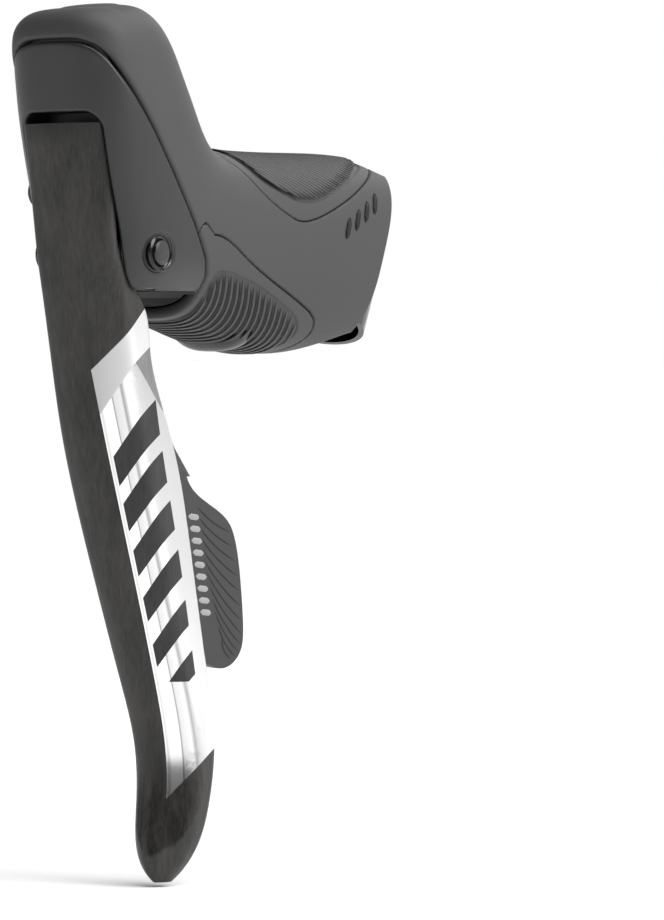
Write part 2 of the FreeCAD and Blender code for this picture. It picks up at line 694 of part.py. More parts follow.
bleed_hole = cylinder("bleed_hole", place(0, bladder_y, cap_foot - 1), Z_AXIS, "1.5 + <running_gap>", "12")
seal_groove = cylinder("seal_groove", place(0, bladder_y, cap_top - 0.7), Z_AXIS, "2.5", "5")
publish(cut("reservoir_cap", cap_plate, *cap_holes, *cap_sinks, bleed_hole, seal_groove), "reservoir_cap")

cap_screws = [
    small_screw(f"cap_screw_{k}", point, Z_AXIS, "6.9")
    for k, point in enumerate(cap_screw_places(cap_top - size("small_head_length") - 6.9), start=1)
]
publish(group("reservoir_cap_screws", *cap_screws), "reservoir_cap_screws")
bleed_foot = place(0, bladder_y, cap_top - 2.4)
bleed_screw = screw("bleed_screw", bleed_foot, Z_AXIS, "1.5", "2.45", "2.9", "1.4", "1.0")
publish(bleed_screw, "bleed_screw")
bleed_seal = ring("bleed_screw_seal", place(0, bladder_y, cap_top - 0.33), Z_AXIS, "1.98", "0.33")
publish(bleed_seal, "bleed_screw_seal")

hose_outline = [
    ("<hose_radius>", "0"),
    ("<hose_nut>", "0"),
    ("<hose_nut>", "<hose_nut_length>"),
    ("<hose_radius>", "<hose_nut_length>"),
]
publish(turned("hose_nut", hose_outline, HOSE_END, Y_AXIS), "hose_nut")

# ----------------------------------------------------------------------------------------------------
# Clamp
# ----------------------------------------------------------------------------------------------------
band_ring = cylinder("band_ring", at_bar(0, 0, -band_half), BAR_AXIS, "<bar_radius> + <band_wall>",
                     "<band_width>")
band_front = bar_block("band_front", -FAR, FAR, -FAR, "120", "60", "120")
band_tongues = [
    bar_block("band_tongue_outer", size("bar_radius"), TONGUE_OUTER, -band_half, "<band_wall>", "20",
              "<band_width>"),
    bar_block("band_tongue_inner", -band_out, TONGUE_INNER, -band_half, "<band_wall>", "9", "<band_width>"),
    bar_block("band_hook", -band_out - 1.1, TONGUE_INNER, -band_half, "1.2", "2", "<band_width>"),
]
band_loop = cut("band_loop", band_ring, band_front)
band_whole = join("band_whole", band_loop, *band_tongues)
band_bore = cylinder("band_bore", at_bar(0, 0, -FAR), BAR_AXIS, "<bar_radius>", "120")
publish(cut("clamp_band", band_whole, band_bore), "clamp_band")

nut_blank = cylinder("nut_blank", at_bar(bolt_x, nut_ahead, -5.0), BAR_AXIS, "<nut_radius> - <running_gap>",
                     "<nut_length>")
nut_thread = cylinder("nut_thread", at_bar(bolt_x, 8.0, 0), BAR_FRONT, "<bolt_radius> + <running_gap>", "20")
publish(cut("clamp_nut", nut_blank, nut_thread), "clamp_nut")
clamp_bolt = screw("clamp_bolt", at_bar(bolt_x, nut_ahead - 3.5, 0), BAR_FRONT, "<bolt_radius>",
                   "<bolt_length>", "<bolt_head>", "3.6", "2.0")
publish(clamp_bolt, "clamp_bolt")
washer_outline = [("<bolt_radius> + 0.1", "0"), ("<bolt_head> + 0.1", "0"), ("<bolt_head> + 0.1", "0.8"),
                  ("<bolt_radius> + 0.1", "0.8")]
clamp_washer = turned("clamp_washer", washer_outline, at_bar(bolt_x, HEAD_AHEAD - 0.85, 0), BAR_FRONT)
publish(clamp_washer, "clamp_washer")

# ----------------------------------------------------------------------------------------------------
# Electronics, inside the bay and the inner wing
# ----------------------------------------------------------------------------------------------------
board_x = -size("board_face")
main_board = block("main_board", place(board_x, bay_y - bay_half + 1, -bay_tall + 1), "<board_wall>",
                   "2 * <bay_half> - 2", "2 * <bay_half_height> - 2")
publish(main_board, "main_board")
inner_face = face - size("hatch_wall")
cell_x = -inner_face + 0.2
publish(cylinder("coin_cell", place(cell_x, bay_y, 0), X_AXIS, "<cell_radius>", "<cell_wall>"), "coin_cell")
CONTACT_WALL = 0.3
contact_from = cell_x + size("cell_wall") + 0.05
contact_span = board_x - contact_from - 0.05
contact_outline = [
    (str(contact_span), "0"),
    (str(contact_span), "6"),
    (str(contact_span - CONTACT_WALL), "6"),
    (str(contact_span - CONTACT_WALL), str(CONTACT_WALL)),
    (str(CONTACT_WALL), "8.5"),
    (str(CONTACT_WALL), "12"),
    ("0", "12"),
    ("0", "8.3"),
    (str(contact_span - 2 * CONTACT_WALL), "0"),
]
battery_contact = plate("battery_contact", contact_outline, "5", place(contact_from, bay_y - 6, -2.5))
publish(battery_contact, "battery_contact")

seal_x = -inner_face + 0.05
seal_blank = block("seal_blank", place(seal_x, bay_y - bay_half - 1.0, -bay_tall - 1.0), "0.7",
                   "2 * <bay_half> + 2", "2 * <bay_half_height> + 2")
seal_window = block("seal_window", place(seal_x - 1, bay_y - bay_half, -bay_tall), "3", "2 * <bay_half>",
                    "2 * <bay_half_height>")
publish(cut("hatch_seal", seal_blank, seal_window, *hatch_screw_holes), "hatch_seal")

hatch_plate = block("hatch_plate", place(-face, bay_y - bay_half - rim, -bay_tall - rim), "<hatch_wall>",
                    "2 * (<bay_half> + <hatch_rim>)", "2 * (<bay_half_height> + <hatch_rim>)")
hatch_holes = [
    cylinder(f"hatch_hole_{k}", point, -X_AXIS, "<hatch_screw> + <running_gap>", "20")
    for k, point in enumerate(hatch_screw_places(-8.0), start=1)
]
hatch_sinks = [
    cylinder(f"hatch_sink_{k}", point, -X_AXIS, "<hatch_screw_head> + <running_gap>", "20")
    for k, point in enumerate(hatch_screw_places(-face + 0.7), start=1)
]
hatch_whole = cut("hatch_whole", hatch_plate, *hatch_holes, *hatch_sinks)
publish(overlap("battery_hatch", hatch_whole, core), "battery_hatch")
hatch_screws = [
    screw(f"hatch_screw_{k}", point, -X_AXIS, "<hatch_screw>", "5.5", "<hatch_screw_head>", "0.65", "0.4")
    for k, point in enumerate(hatch_screw_places(-face + 0.68 + 5.5), start=1)
]
publish(group("hatch_screws", *hatch_screws), "hatch_screws")

publish(block("button_board", place(-12.0, BUTTON[0] - 4, BUTTON[1] - 4), "1.0", "8", "12.6"), "button_board")
status_light = cylinder("status_light", place(-15.0, BUTTON[0], BUTTON[1] + LIGHT_RISE), X_AXIS, "0.8", "2.9")
publish(status_light, "status_light")
button_outline = [
    ("0", "0"),
    ("<button_radius>", "0"),
    ("<button_radius>", "<button_length> - 0.4"),
    ("<button_radius> - 0.5", "<button_length>"),
    ("0", "<button_length>"),
]
button_base = place(BUTTON_FACE + size("button_length"), *BUTTON)
publish(turned("function_button", button_outline, button_base, -X_AXIS), "function_button")

# ----------------------------------------------------------------------------------------------------
# Blade
# ----------------------------------------------------------------------------------------------------
BLADE = [  # height, inner edge x and y, outer wall x, rear edge y, corner radius
    (26.6, -9.6, -16.2, 9.6, -12.2, 2.0),
    (10.0, -9.75, -13.3, 9.75, -8.0, 2.2),
    (-2.0, -9.75, -11.3, 9.85, -6.2, 2.2),
    (-12.0, -9.55, -9.4, 10.1, 1.8, 2.2),
    (-20.0, -9.4, -8.0, 10.6, 2.8, 2.4),
    (-38.0, -8.5, -5.1, 11.5, 8.9, 2.6),
    (-65.0, -5.4, 0.5, 13.6, 14.1, 2.8),
    (-90.0, -1.6, 6.0, 14.9, 18.0, 2.8),
    (-103.0, 0.5, 8.2, 15.6, 19.2, 2.6),
    (-114.5, 1.8, 7.4, 15.9, 17.2, 2.4),
    (-123.5, 3.4, 5.0, 15.4, 14.0, 2.2),
    (-129.0, 5.6, 4.6, 13.4, 11.4, 1.7),
    (-132.2, 8.2, 5.6, 11.4, 8.6, 0.9),
]
CROWN = 2.0  # how far the middle of the front face stands ahead of its edges
CREASE = 3.6  # how far the outer front crease lies behind the inner edge
INNER_FLANGE = 3.5  # shortest depth of the inner side
STATION_GAP = 6.0  # greatest height between two sections of the blade


def smooth_stations(stations, knots):
    """Six-value stations with more put between them, along smooth curves through their values."""
    halves = []
    for first in (0, 3):
        curve = Part.BSplineCurve()
        curve.interpolate(Points=[Vector(*row[first:first + 3]) for row in stations], Parameters=knots)
        halves.append(curve)
    at = []
    for start, end in zip(knots, knots[1:]):
        count = max(1, round((end - start) / STATION_GAP))
        at += [start + (end - start) * k / count for k in range(count)]
    return [(*halves[0].value(t), *halves[1].value(t)) for t in [*at, knots[-1]]]


def blade_corners(station):
    """The five corners of the blade's section: front middle, crease, outer rear, inner rear, inner front."""
    height, inner_x, inner_y, outer_x, rear_y, corner = station
    width = outer_x - inner_x
    depth = rear_y - inner_y
    crown = CROWN * min(1.0, depth / 8.0)
    crease = min(CREASE, 0.42 * depth)
    inner_rear = inner_y + max(INNER_FLANGE, 0.55 * depth)
    return [
        (inner_x + 0.42 * width, inner_y - crown),
        (outer_x - 0.02 * width, inner_y + crease),
        (outer_x, rear_y),
        (inner_x + 0.06 * width, min(inner_rear, rear_y)),
        (inner_x, inner_y + 0.3),
    ]


def rounded_wire(corners, radii, height):
    """A closed wire at one height, whose corners are rounded by quadratic curves."""
    count = len(corners)
    points = [Vector(x, y, 0) for x, y in corners]
    starts, ends = [], []
    for k in range(count):
        before = points[k - 1] - points[k]
        after = points[(k + 1) % count] - points[k]
        starts.append(points[k] + before * (min(radii[k], 0.45 * before.Length) / before.Length))
        ends.append(points[k] + after * (min(radii[k], 0.45 * after.Length) / after.Length))
    edges = []
    for k in range(count):
        curve = Part.BezierCurve()
        curve.setPoles([place(p.x, p.y, height) for p in (starts[k], points[k], ends[k])])
        edges.append(curve.toShape())
        line = [place(p.x, p.y, height) for p in (ends[k], starts[(k + 1) % count])]
        edges.append(Part.makeLine(*line))
    return Part.Wire(edges)


def blade_wire(station):
    corner = station[5]
    return rounded_wire(blade_corners(station), [6.0, corner, corner * 0.6, corner * 0.6, corner], station[0])


def hollow_wire(station):
    """The blade's hollow, one wall inside its front and sides, and open to the rear."""
    wall = size("blade_wall")
    front, crease, outer_rear, inner_rear, inner_front = blade_corners(station)
    corners = [
        (front[0], front[1] + wall),
        (crease[0] - wall, crease[1] + wall),
        (outer_rear[0] - wall, outer_rear[1] + FAR),
        (inner_rear[0] + wall * 0.7, inner_rear[1] + FAR),
        (inner_front[0] + wall, inner_front[1] + wall),
    ]
    return rounded_wire(corners, [4.0, 1.5, 1.0, 1.0, 1.5], station[0])


HOLLOW_FROM = -2.0
HOLLOW_TO = -103.0
blade_stations = smooth_stations(BLADE, [BLADE[0][0] - station[0] for station in BLADE])
blade_solid = feature("blade_solid", Part.makeLoft([blade_wire(s) for s in blade_stations], True, False))
hollow_stations = [s for s in BLADE if HOLLOW_TO <= s[0] <= HOLLOW_FROM]
blade_hollow = feature("blade_hollow", Part.makeLoft([hollow_wire(s) for s in hollow_stations], True, True))
reach_z = size("reach_rise")
blade_cut = cut("blade_cut", blade_solid, blade_hollow)
boss = block("blade_boss", place(-6.8, -11.6, -17.0), "8.4", "4.75", "8")
blade_boss = overlap("blade_boss_trimmed", boss, blade_solid)
CARRIER_SCREWS = [(-5.0, "inner"), (-0.4, "outer")]
boss_holes = [
    cylinder("boss_hole_" + word, place(across, -9.2, -13.0), Y_AXIS, "<small_screw> + <running_gap>", "5")
    for across, word in CARRIER_SCREWS
]
lever_blade = cut("lever_blade", join("blade_whole", blade_cut, blade_boss), *boss_holes)
publish(lever_blade, "lever_blade")

# ----------------------------------------------------------------------------------------------------
# Carrier: the metal frame inside the blade, with the hub, the cam arm and the paddle's lugs
# ----------------------------------------------------------------------------------------------------
hub_half = size("hub_half")
paddle_x = size("paddle_offset")
paddle_z = -size("paddle_drop")
PLATE_OUTER = 1.5
hub = cylinder("hub", place(-hub_half, 0, 0), X_AXIS, "<hub_radius>", "2 * <hub_half>")
collars = cylinder("collars", place(-size("collar_half"), 0, 0), X_AXIS, "<collar_radius>",
                   "2 * <collar_half>")
SPINE = [(-9.6, 8.0), (-8.0, 8.0), (-4.0, 4.6), (-2.0, -4.8), (-3.2, -8.0), (-3.6, -16.5), (-6.6, -16.5),
         (-6.8, -8.5), (-8.2, -1.0)]
spine = slab("spine", SPINE, -hub_half, PLATE_OUTER)
TOWER = [(-9.6, 7.0), (-6.0, 7.0), (-6.0, 18.6), (-10.4, 18.6)]
tower = slab("tower", TOWER, -3.4, 3.4)
roller_half = size("roller_half")
cheek_gap = roller_half + 0.2
cheek_out = cheek_gap + size("cheek_wall")
arm_y = size("cam_arm")
CHEEK = [(-2.0, 5.0), (4.0, 5.0), (arm_y + 1.6, 2.4), (arm_y + 2.6, 0.6), (arm_y + 2.6, -1.4),
         (arm_y + 1.2, -2.8), (4.0, -5.0), (-2.0, -5.0)]
cheeks = [
    slab("cheek_outer", CHEEK, cheek_gap, cheek_out),
    slab("cheek_inner", CHEEK, -cheek_out, -cheek_gap),
]
LUG_FRONT = -3.2
LUG_REAR = 5.5
LUG_WALL = 1.6
lug_roof = block("lug_roof", place(paddle_x - 3.8, LUG_FRONT, paddle_z + 3.1), "5.4",
                 str(LUG_REAR - LUG_FRONT + LUG_WALL), "2.2")
lug_rear = block("lug_rear", place(paddle_x - 2.4, LUG_REAR, paddle_z - 2.4), "4.0", str(LUG_WALL), "7.7")
lug_front = block("lug_front", place(paddle_x - 2.4, LUG_FRONT, paddle_z - 2.4), "4.0", str(LUG_WALL), "7.7")
lug_bridge = block("lug_bridge", place(-2.0, -5.0, paddle_z + 3.1), "4.6", "4.4", "2.2")
switch_arm = block("switch_arm", place(-4.4, -5.4, paddle_z - 1.6), "4.2", "7.4", "3.4")
carrier_blank = join("carrier_blank", hub, collars, spine, tower, *cheeks, lug_roof, lug_rear, lug_front,
                     lug_bridge, switch_arm)
bush_outer = "<pin_radius> + <running_gap> + <bush_wall>"
hub_bore = cylinder("hub_bore", place(-FAR, 0, 0), X_AXIS, bush_outer + " + 0.02", "120")
roller_gap = cylinder("roller_gap", place(-cheek_gap, arm_y, 0), X_AXIS, "<roller_radius> + 0.5",
                      "2 * <roller_half> + 0.4")
roller_pin_hole = cylinder("roller_pin_hole", place(-FAR, arm_y, 0), X_AXIS, "<roller_pin> + 0.02", "120")
paddle_pin_hole = cylinder("paddle_pin_hole", place(paddle_x, LUG_FRONT + 0.4, paddle_z), Y_AXIS,
                           "<paddle_pin> + 0.02", "20")
REACH_TIP = -5.4
reach_hole = cylinder("reach_hole", place(0, REACH_TIP - 3.25, reach_z), Y_AXIS,
                      "<reach_radius> + <running_gap>", "20")
mount_holes = [
    cylinder("mount_hole_" + word, place(across, -30, -13.0), Y_AXIS, "<small_screw> + <running_gap>", "40")
    for across, word in CARRIER_SCREWS
]
mount_sinks = [
    cylinder("mount_sink_" + word, place(across, -4.2, -13.0), Y_AXIS, "<small_head> + <part_gap>", "12")
    for across, word in CARRIER_SCREWS
]
publish(
    cut("lever_carrier", carrier_blank, hub_bore, roller_gap, roller_pin_hole, paddle_pin_hole, reach_hole,
        *mount_holes, *mount_sinks, lever_blade),
    "lever_carrier",
)
carrier_screws = [
    small_screw("carrier_screw_" + word, place(across, -9.1, -13.0), Y_AXIS, "4.92")
    for across, word in CARRIER_SCREWS
]
publish(group("carrier_screws", *carrier_screws), "carrier_screws")

bush_outline = [
    ("<pin_radius> + <running_gap>", "0"),
    (bush_outer, "0"),
    (bush_outer, "<bush_length>"),
    ("<pin_radius> + <running_gap>", "<bush_length>"),
]
collar_half = size("collar_half")
bushes = [
    turned("bush_inner", bush_outline, place(-collar_half, 0, 0), X_AXIS),
    turned("bush_outer", bush_outline, place(collar_half, 0, 0), -X_AXIS),
]
publish(group("pivot_bushings", *bushes), "pivot_bushings")

roller_pin = cylinder("roller_pin_rod", place(-cheek_out, arm_y, 0), X_AXIS, "<roller_pin>",
                      "2 * (<roller_half> + 0.2 + <cheek_wall>)")
publish(roller_pin, "roller_pin")
roller_outline = [
    ("<roller_pin> + <running_gap>", "0"),
    ("<roller_radius>", "0"),
    ("<roller_radius>", "2 * <roller_half>"),
    ("<roller_pin> + <running_gap>", "2 * <roller_half>"),
]
publish(turned("cam_roller", roller_outline, place(-roller_half, arm_y, 0), X_AXIS), "cam_roller")
pin_span = LUG_REAR + LUG_WALL - LUG_FRONT - 0.45
paddle_pin = cylinder("paddle_pin_rod", place(paddle_x, LUG_FRONT + 0.45, paddle_z), Y_AXIS, "<paddle_pin>",
                      str(pin_span))
publish(paddle_pin, "paddle_pin")

reach_screw = grub_screw("reach_screw", place(0, REACH_TIP, reach_z), -Y_AXIS, "<reach_radius>", "3.2", "0.9")
publish(reach_screw, "reach_screw")

# The lever's return spring is close-wound: its turns touch, so each is a ring.  Its leg lies along the hub.
coil_radius = size("collar_radius") + 0.9
COIL_WIRE = 0.35
COIL_PITCH = 0.68
coil_places = [place(hub_half + 0.45 + k * COIL_PITCH, 0, 0) for k in range(1, 5)]
coil_turns = [
    ring(f"lever_spring_turn_{k}", point, X_AXIS, str(coil_radius), str(COIL_WIRE))
    for k, point in enumerate(coil_places, start=1)
]
coil_leg = cylinder("lever_spring_leg", coil_places[0] - Z_AXIS * coil_radius, Y_AXIS, "0.32", "4.0")
return_spring = join("lever_return_spring", *coil_turns, coil_leg)
publish(return_spring, "lever_return_spring")

# ----------------------------------------------------------------------------------------------------
# Master piston
# ----------------------------------------------------------------------------------------------------
GROOVE = 0.6
piston_radius = "<bore_radius> - <running_gap>"
groove_floor = "<bore_radius> - <running_gap> - 2 * <seal_wire> - 0.05"
seal_heights = [number("<piston_foot> - <tappet_foot> + 2.0"), number("<piston_foot> - <tappet_foot> + 6.2")]
piston_outline = [("0", "0"), ("<tappet_radius>", "0"), ("<tappet_radius>", "<piston_foot> - <tappet_foot>"),
                  (piston_radius, "<piston_foot> - <tappet_foot>")]
for height in seal_heights:
    piston_outline += [
        (piston_radius, str(height - GROOVE)),
        (groove_floor, str(height - GROOVE)),
        (groove_floor, str(height + GROOVE)),
        (piston_radius, str(height + GROOVE)),
    ]
piston_outline += [
    (piston_radius, "<piston_foot> - <tappet_foot> + <piston_length>"),
    ("0", "<piston_foot> - <tappet_foot> + <piston_length>"),
]
TAPPET = place(0, arm_y, size("tappet_foot"))
publish(turned("master_piston", piston_outline, TAPPET), "master_piston")
seals = [
    ring(f"piston_seal_{k}", TAPPET + Z_AXIS * height, Z_AXIS, "<bore_radius> - <running_gap> - <seal_wire>",
         "<seal_wire>")
    for k, height in enumerate(seal_heights, start=1)
]
publish(group("piston_seals", *seals), "piston_seals")

# ----------------------------------------------------------------------------------------------------
# Shift paddle, its switch and its spring
# ----------------------------------------------------------------------------------------------------
BARREL_FROM = 0.1
BARREL_LENGTH = 5.3
turn = math.radians(size("paddle_turn"))
PLATE_ALONG = Vector(math.sin(turn), math.cos(turn), 0)
PLATE_OUT = Vector(math.cos(turn), -math.sin(turn), 0)
PLATE_START = (10.9, 16.0)
PADDLE_FRONT = [(-3.0, -46.0), (-1.1, -62.0), (1.0, -74.0), (3.2, -85.0)]
PADDLE_REAR = [(3.2, -85.0), (6.0, -87.6), (9.5, -88.0), (11.8, -86.9), (13.9, -84.0), (14.4, -80.0),
               (13.9, -72.0), (12.5, -62.0), (10.6, -57.2), (6.5, -53.8), (1.0, -50.0), (-1.2, -46.0)]


def on_plate(along, height, out=0.0):
    """A point on the paddle's outer face: along the plate to the rear, and up from the pivot."""
    start = place(*PLATE_START, height)
    return start + PLATE_ALONG * along + PLATE_OUT * out


def spline(points):
    curve = Part.BSplineCurve()
    curve.interpolate(points)
    return curve.toShape()


paddle_edges = [
    spline([on_plate(*point) for point in PADDLE_FRONT]),
    spline([on_plate(*point) for point in PADDLE_REAR]),
    Part.makeLine(on_plate(*PADDLE_REAR[-1]), on_plate(*PADDLE_FRONT[0])),
]
paddle_face = Part.Face(Part.Wire(paddle_edges))
paddle_leaf = feature("paddle_leaf", paddle_face.extrude(PLATE_OUT * -size("paddle_wall")))

ARM = [  # height, inner x, outer x, front y, rear y
    (-14.9, 3.2, 6.6, 0.3, 5.2),
    (-24.0, 4.0, 7.2, 0.8, 5.3),
    (-36.0, 6.0, 8.0, 5.6, 11.6),
    (-41.0, 6.5, 8.5, 9.0, 14.2),
    (-47.0, 7.8, 10.4, 12.4, 17.2),
]


def arm_wire(station):
    height, inner, outer, front, rear = station
    return rounded_wire([(inner, front), (outer, front), (outer, rear), (inner, rear)], [0.8] * 4, height)


paddle_arm = feature("paddle_arm", Part.makeLoft([arm_wire(s) for s in ARM], True, True))
barrel = cylinder("paddle_barrel", place(paddle_x, BARREL_FROM, paddle_z), Y_AXIS, "<paddle_barrel>",
                  str(BARREL_LENGTH))
arm_trim = block("arm_trim", place(-FAR, -FAR, paddle_z + 0.5), "120", "120", "20")
barrel_bore = cylinder("barrel_bore", place(paddle_x, -30, paddle_z), Y_AXIS,
                       "<paddle_pin> + <running_gap>", "60")
paddle_blank = join("paddle_blank", cut("arm_trimmed", paddle_arm, arm_trim), barrel, paddle_leaf)
publish(cut("shift_paddle", paddle_blank, barrel_bore), "shift_paddle")

plunger_z = paddle_z - size("plunger_drop")
switch_box = block("switch_box", place(-4.4, -2.0, plunger_z - 2.8), "4.2", "5.6", "8.1")
plunger_hole = cylinder("plunger_hole", place(-2.4, 2.2, plunger_z), X_AXIS,
                        "<plunger_radius> + <running_gap>", "9")
publish(cut("paddle_switch", switch_box, plunger_hole), "paddle_switch")
plunger = cylinder("switch_plunger", place(-1.2, 2.2, plunger_z), X_AXIS, "<plunger_radius>", "5.0")
publish(plunger, "switch_plunger")
# A close-wound torsion spring: its turns touch, so each is a ring, and its leg runs off tangent.
SPRING_RADIUS = 2.0
SPRING_LEG = 3.4
SPRING_TURNS = [-1.2, -0.74]
spring_turns = [
    ring(f"paddle_spring_turn_{k}", place(paddle_x, y, paddle_z), Y_AXIS, str(SPRING_RADIUS), "0.25")
    for k, y in enumerate(SPRING_TURNS, start=1)
]
leg_foot = place(paddle_x - SPRING_RADIUS, SPRING_TURNS[0], paddle_z - SPRING_LEG)
spring_leg = cylinder("paddle_spring_leg", leg_foot, Z_AXIS, "0.22", str(SPRING_LEG))
publish(join("paddle_return_spring", *spring_turns, spring_leg), "paddle_return_spring")

# ----------------------------------------------------------------------------------------------------
# Check and write
# ----------------------------------------------------------------------------------------------------
doc.recompute()
for obj in doc.Objects:
    if "Invalid" in obj.State or "Error" in obj.State:
        raise RuntimeError(f"{obj.Name} failed to compute: {obj.State}")
os.makedirs("parts", exist_ok=True)
for obj in published:
    if obj.Shape.isNull() or not obj.Shape.isValid():
        raise RuntimeError(f"{obj.Label} has no valid shape")
    obj.Shape.exportStep(f"parts/{obj.Label}.step")
print(len(published), "nodes written")
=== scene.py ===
"""Looks for a left-hand brake and shift control: rubber hood, moulded body, hollow blade and shift paddle.

Shapes are worked out in millimetres from the lever pivot (x outer side, y rear, z up) and turned into
metres in the model's own frame by placed().
"""

import json
import math

import bpy
import numpy as np
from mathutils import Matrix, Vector


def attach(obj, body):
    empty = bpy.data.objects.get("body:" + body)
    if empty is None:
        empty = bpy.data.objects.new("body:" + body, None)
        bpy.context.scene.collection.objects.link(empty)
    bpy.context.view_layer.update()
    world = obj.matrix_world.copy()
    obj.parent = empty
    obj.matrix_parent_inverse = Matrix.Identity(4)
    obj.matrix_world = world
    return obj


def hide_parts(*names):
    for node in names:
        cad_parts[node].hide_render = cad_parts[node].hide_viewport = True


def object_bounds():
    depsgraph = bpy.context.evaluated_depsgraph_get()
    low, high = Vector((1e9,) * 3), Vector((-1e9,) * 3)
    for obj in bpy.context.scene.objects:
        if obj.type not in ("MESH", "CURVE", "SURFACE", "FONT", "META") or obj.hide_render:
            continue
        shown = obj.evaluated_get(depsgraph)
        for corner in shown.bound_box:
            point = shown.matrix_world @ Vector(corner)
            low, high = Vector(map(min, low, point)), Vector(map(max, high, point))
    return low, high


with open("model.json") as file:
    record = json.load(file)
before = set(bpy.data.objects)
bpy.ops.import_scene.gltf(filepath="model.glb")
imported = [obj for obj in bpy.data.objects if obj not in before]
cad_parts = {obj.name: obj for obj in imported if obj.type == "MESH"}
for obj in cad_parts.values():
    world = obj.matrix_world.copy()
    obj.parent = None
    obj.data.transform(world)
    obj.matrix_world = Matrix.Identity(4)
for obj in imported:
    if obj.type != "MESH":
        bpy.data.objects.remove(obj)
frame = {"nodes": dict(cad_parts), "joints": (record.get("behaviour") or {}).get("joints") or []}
cad_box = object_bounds()
scene = bpy.context.scene
MM = 0.001
HINGE = next(j for j in frame["joints"] if j["name"] == "brake_lever_hinge")
PIVOT = np.array(HINGE["pos_m"])


def placed(points):
    """Points in millimetres from the lever pivot, as metres in the model's frame."""
    return np.asarray(points, dtype=float) * MM + PIVOT


# ----------------------------------------------------------------------------------------------------
# Materials
# ----------------------------------------------------------------------------------------------------
class Look:
    """A material under construction: short calls for its nodes and links."""

    def __init__(self, name, colour, roughness, metallic=0.0, **sockets):
        self.material = bpy.data.materials.new(name)
        self.material.use_nodes = True
        self.tree = self.material.node_tree
        self.shader = self.tree.nodes["Principled BSDF"]
        self.set("Base Color", (*colour, 1.0))
        self.set("Roughness", roughness)
        self.set("Metallic", metallic)
        for socket, value in sockets.items():
            self.set(socket.replace("_", " "), value)
        self.where = self.node("ShaderNodeTexCoord").outputs["Object"]

    def node(self, kind, **settings):
        made = self.tree.nodes.new(kind)
        for key, value in settings.items():
            setattr(made, key, value)
        return made

    def set(self, socket, value):
        """Sets a socket of the shader to a plain value, or links it."""
        target = self.shader.inputs[socket]
        if isinstance(value, bpy.types.NodeSocket):
            self.tree.links.new(value, target)
        else:
            target.default_value = value

    def feed(self, node, **inputs):
        """Sets or links a node's inputs.  i3 means its input number 3."""
        for key, value in inputs.items():
            target = node.inputs[int(key[1:])] if key[0] == "i" and key[1:].isdigit() else node.inputs[key]
            if isinstance(value, bpy.types.NodeSocket):
                self.tree.links.new(value, target)
            else:
                target.default_value = value
        return node

    def maths(self, operation, first, second=0.0, third=0.0, clamp=False):
        made = self.node("ShaderNodeMath", operation=operation, use_clamp=clamp)
        return self.feed(made, i0=first, i1=second, i2=third).outputs[0]

    def stretch(self, scale):
        made = self.node("ShaderNodeMapping")
        return self.feed(made, Vector=self.where, Scale=scale).outputs[0]

    def noise(self, scale, detail=2.0, roughness=0.5, along=(1, 1, 1)):
        made = self.node("ShaderNodeTexNoise")
        return self.feed(made, Vector=self.stretch(along), Scale=scale, Detail=detail,
                         Roughness=roughness).outputs["Fac"]

    def ranged(self, value, low, high, start=0.0, end=1.0):
        """A value between start and end, turned into low to high."""
        made = self.node("ShaderNodeMapRange")
        return self.feed(made, i0=value, i1=start, i2=end, i3=low, i4=high).outputs[0]

    def mixed(self, factor, first, second):
        made = self.node("ShaderNodeMix", data_type="RGBA")
        return self.feed(made, i0=factor, i6=first, i7=second).outputs[2]

    def blended(self, factor, first, second):
        made = self.node("ShaderNodeMix", data_type="FLOAT")
        return self.feed(made, i0=factor, i2=first, i3=second).outputs[0]

    def bump(self, height, strength, distance):
        made = self.node("ShaderNodeBump")
        self.feed(made, Height=height, Strength=strength, Distance=distance)
        self.set("Normal", made.outputs[0])

    def ramp(self, value, stops):
        """A grey level read from (place, level) stops."""
        made = self.node("ShaderNodeValToRGB")
        while len(made.color_ramp.elements) < len(stops):
            made.color_ramp.elements.new(0.5)
        for element, (place, level) in zip(made.color_ramp.elements, stops):
            element.position = place
            element.color = (level, level, level, 1)
        return self.feed(made, Fac=value).outputs["Color"]

    def above(self, value, limit, soft=0.02):
        """1 where value is over limit, with an edge of the given softness in the value's own units."""
        return self.maths("DIVIDE", self.maths("SUBTRACT", value, limit), soft, clamp=True)

    def all_of(self, first, *others):
        for other in others:
            first = self.maths("MULTIPLY", first, other)
        return first

    def axes(self):
        """x, y and z in millimetres from the lever pivot."""
        split = self.node("ShaderNodeSeparateXYZ")
        self.feed(split, i0=self.where)
        return [
            self.maths("MULTIPLY_ADD", split.outputs[k], 1 / MM, -PIVOT[k] / MM) for k in range(3)
        ]


def grey(value, tint=0.0):
    return (value, value, value * (1 + tint))


def rubber_look(name, value, grain=1.0, shine=0.42):
    look = Look(name, grey(value), 0.6, Specular_IOR_Level=shine)
    speckle = look.noise(5200, 3, 0.6)
    patches = look.noise(60, 3, 0.55)
    tone = look.maths("ADD", look.ranged(speckle, -0.12, 0.12), look.ranged(patches, -0.10, 0.10))
    dark, light = grey(value * 0.78, 0.02), grey(value * 1.22, 0.03)
    look.set("Base Color", look.mixed(look.maths("ADD", tone, 0.5), (*dark, 1), (*light, 1)))
    look.set("Roughness", look.ranged(patches, 0.52, 0.66))
    look.bump(speckle, 0.16 * grain, 0.00006)
    return look.material


def moulded_look(name, value, rough=0.42):
    look = Look(name, grey(value), rough, Specular_IOR_Level=0.5)
    texture = look.noise(3400, 2, 0.5)
    patches = look.noise(45, 3, 0.6)
    dark, light = grey(value * 0.82, 0.02), grey(value * 1.2, 0.04)
    look.set("Base Color", look.mixed(patches, (*dark, 1), (*light, 1)))
    look.set("Roughness", look.ranged(patches, rough - 0.05, rough + 0.07))
    look.bump(texture, 0.12, 0.00004)
    return look.material


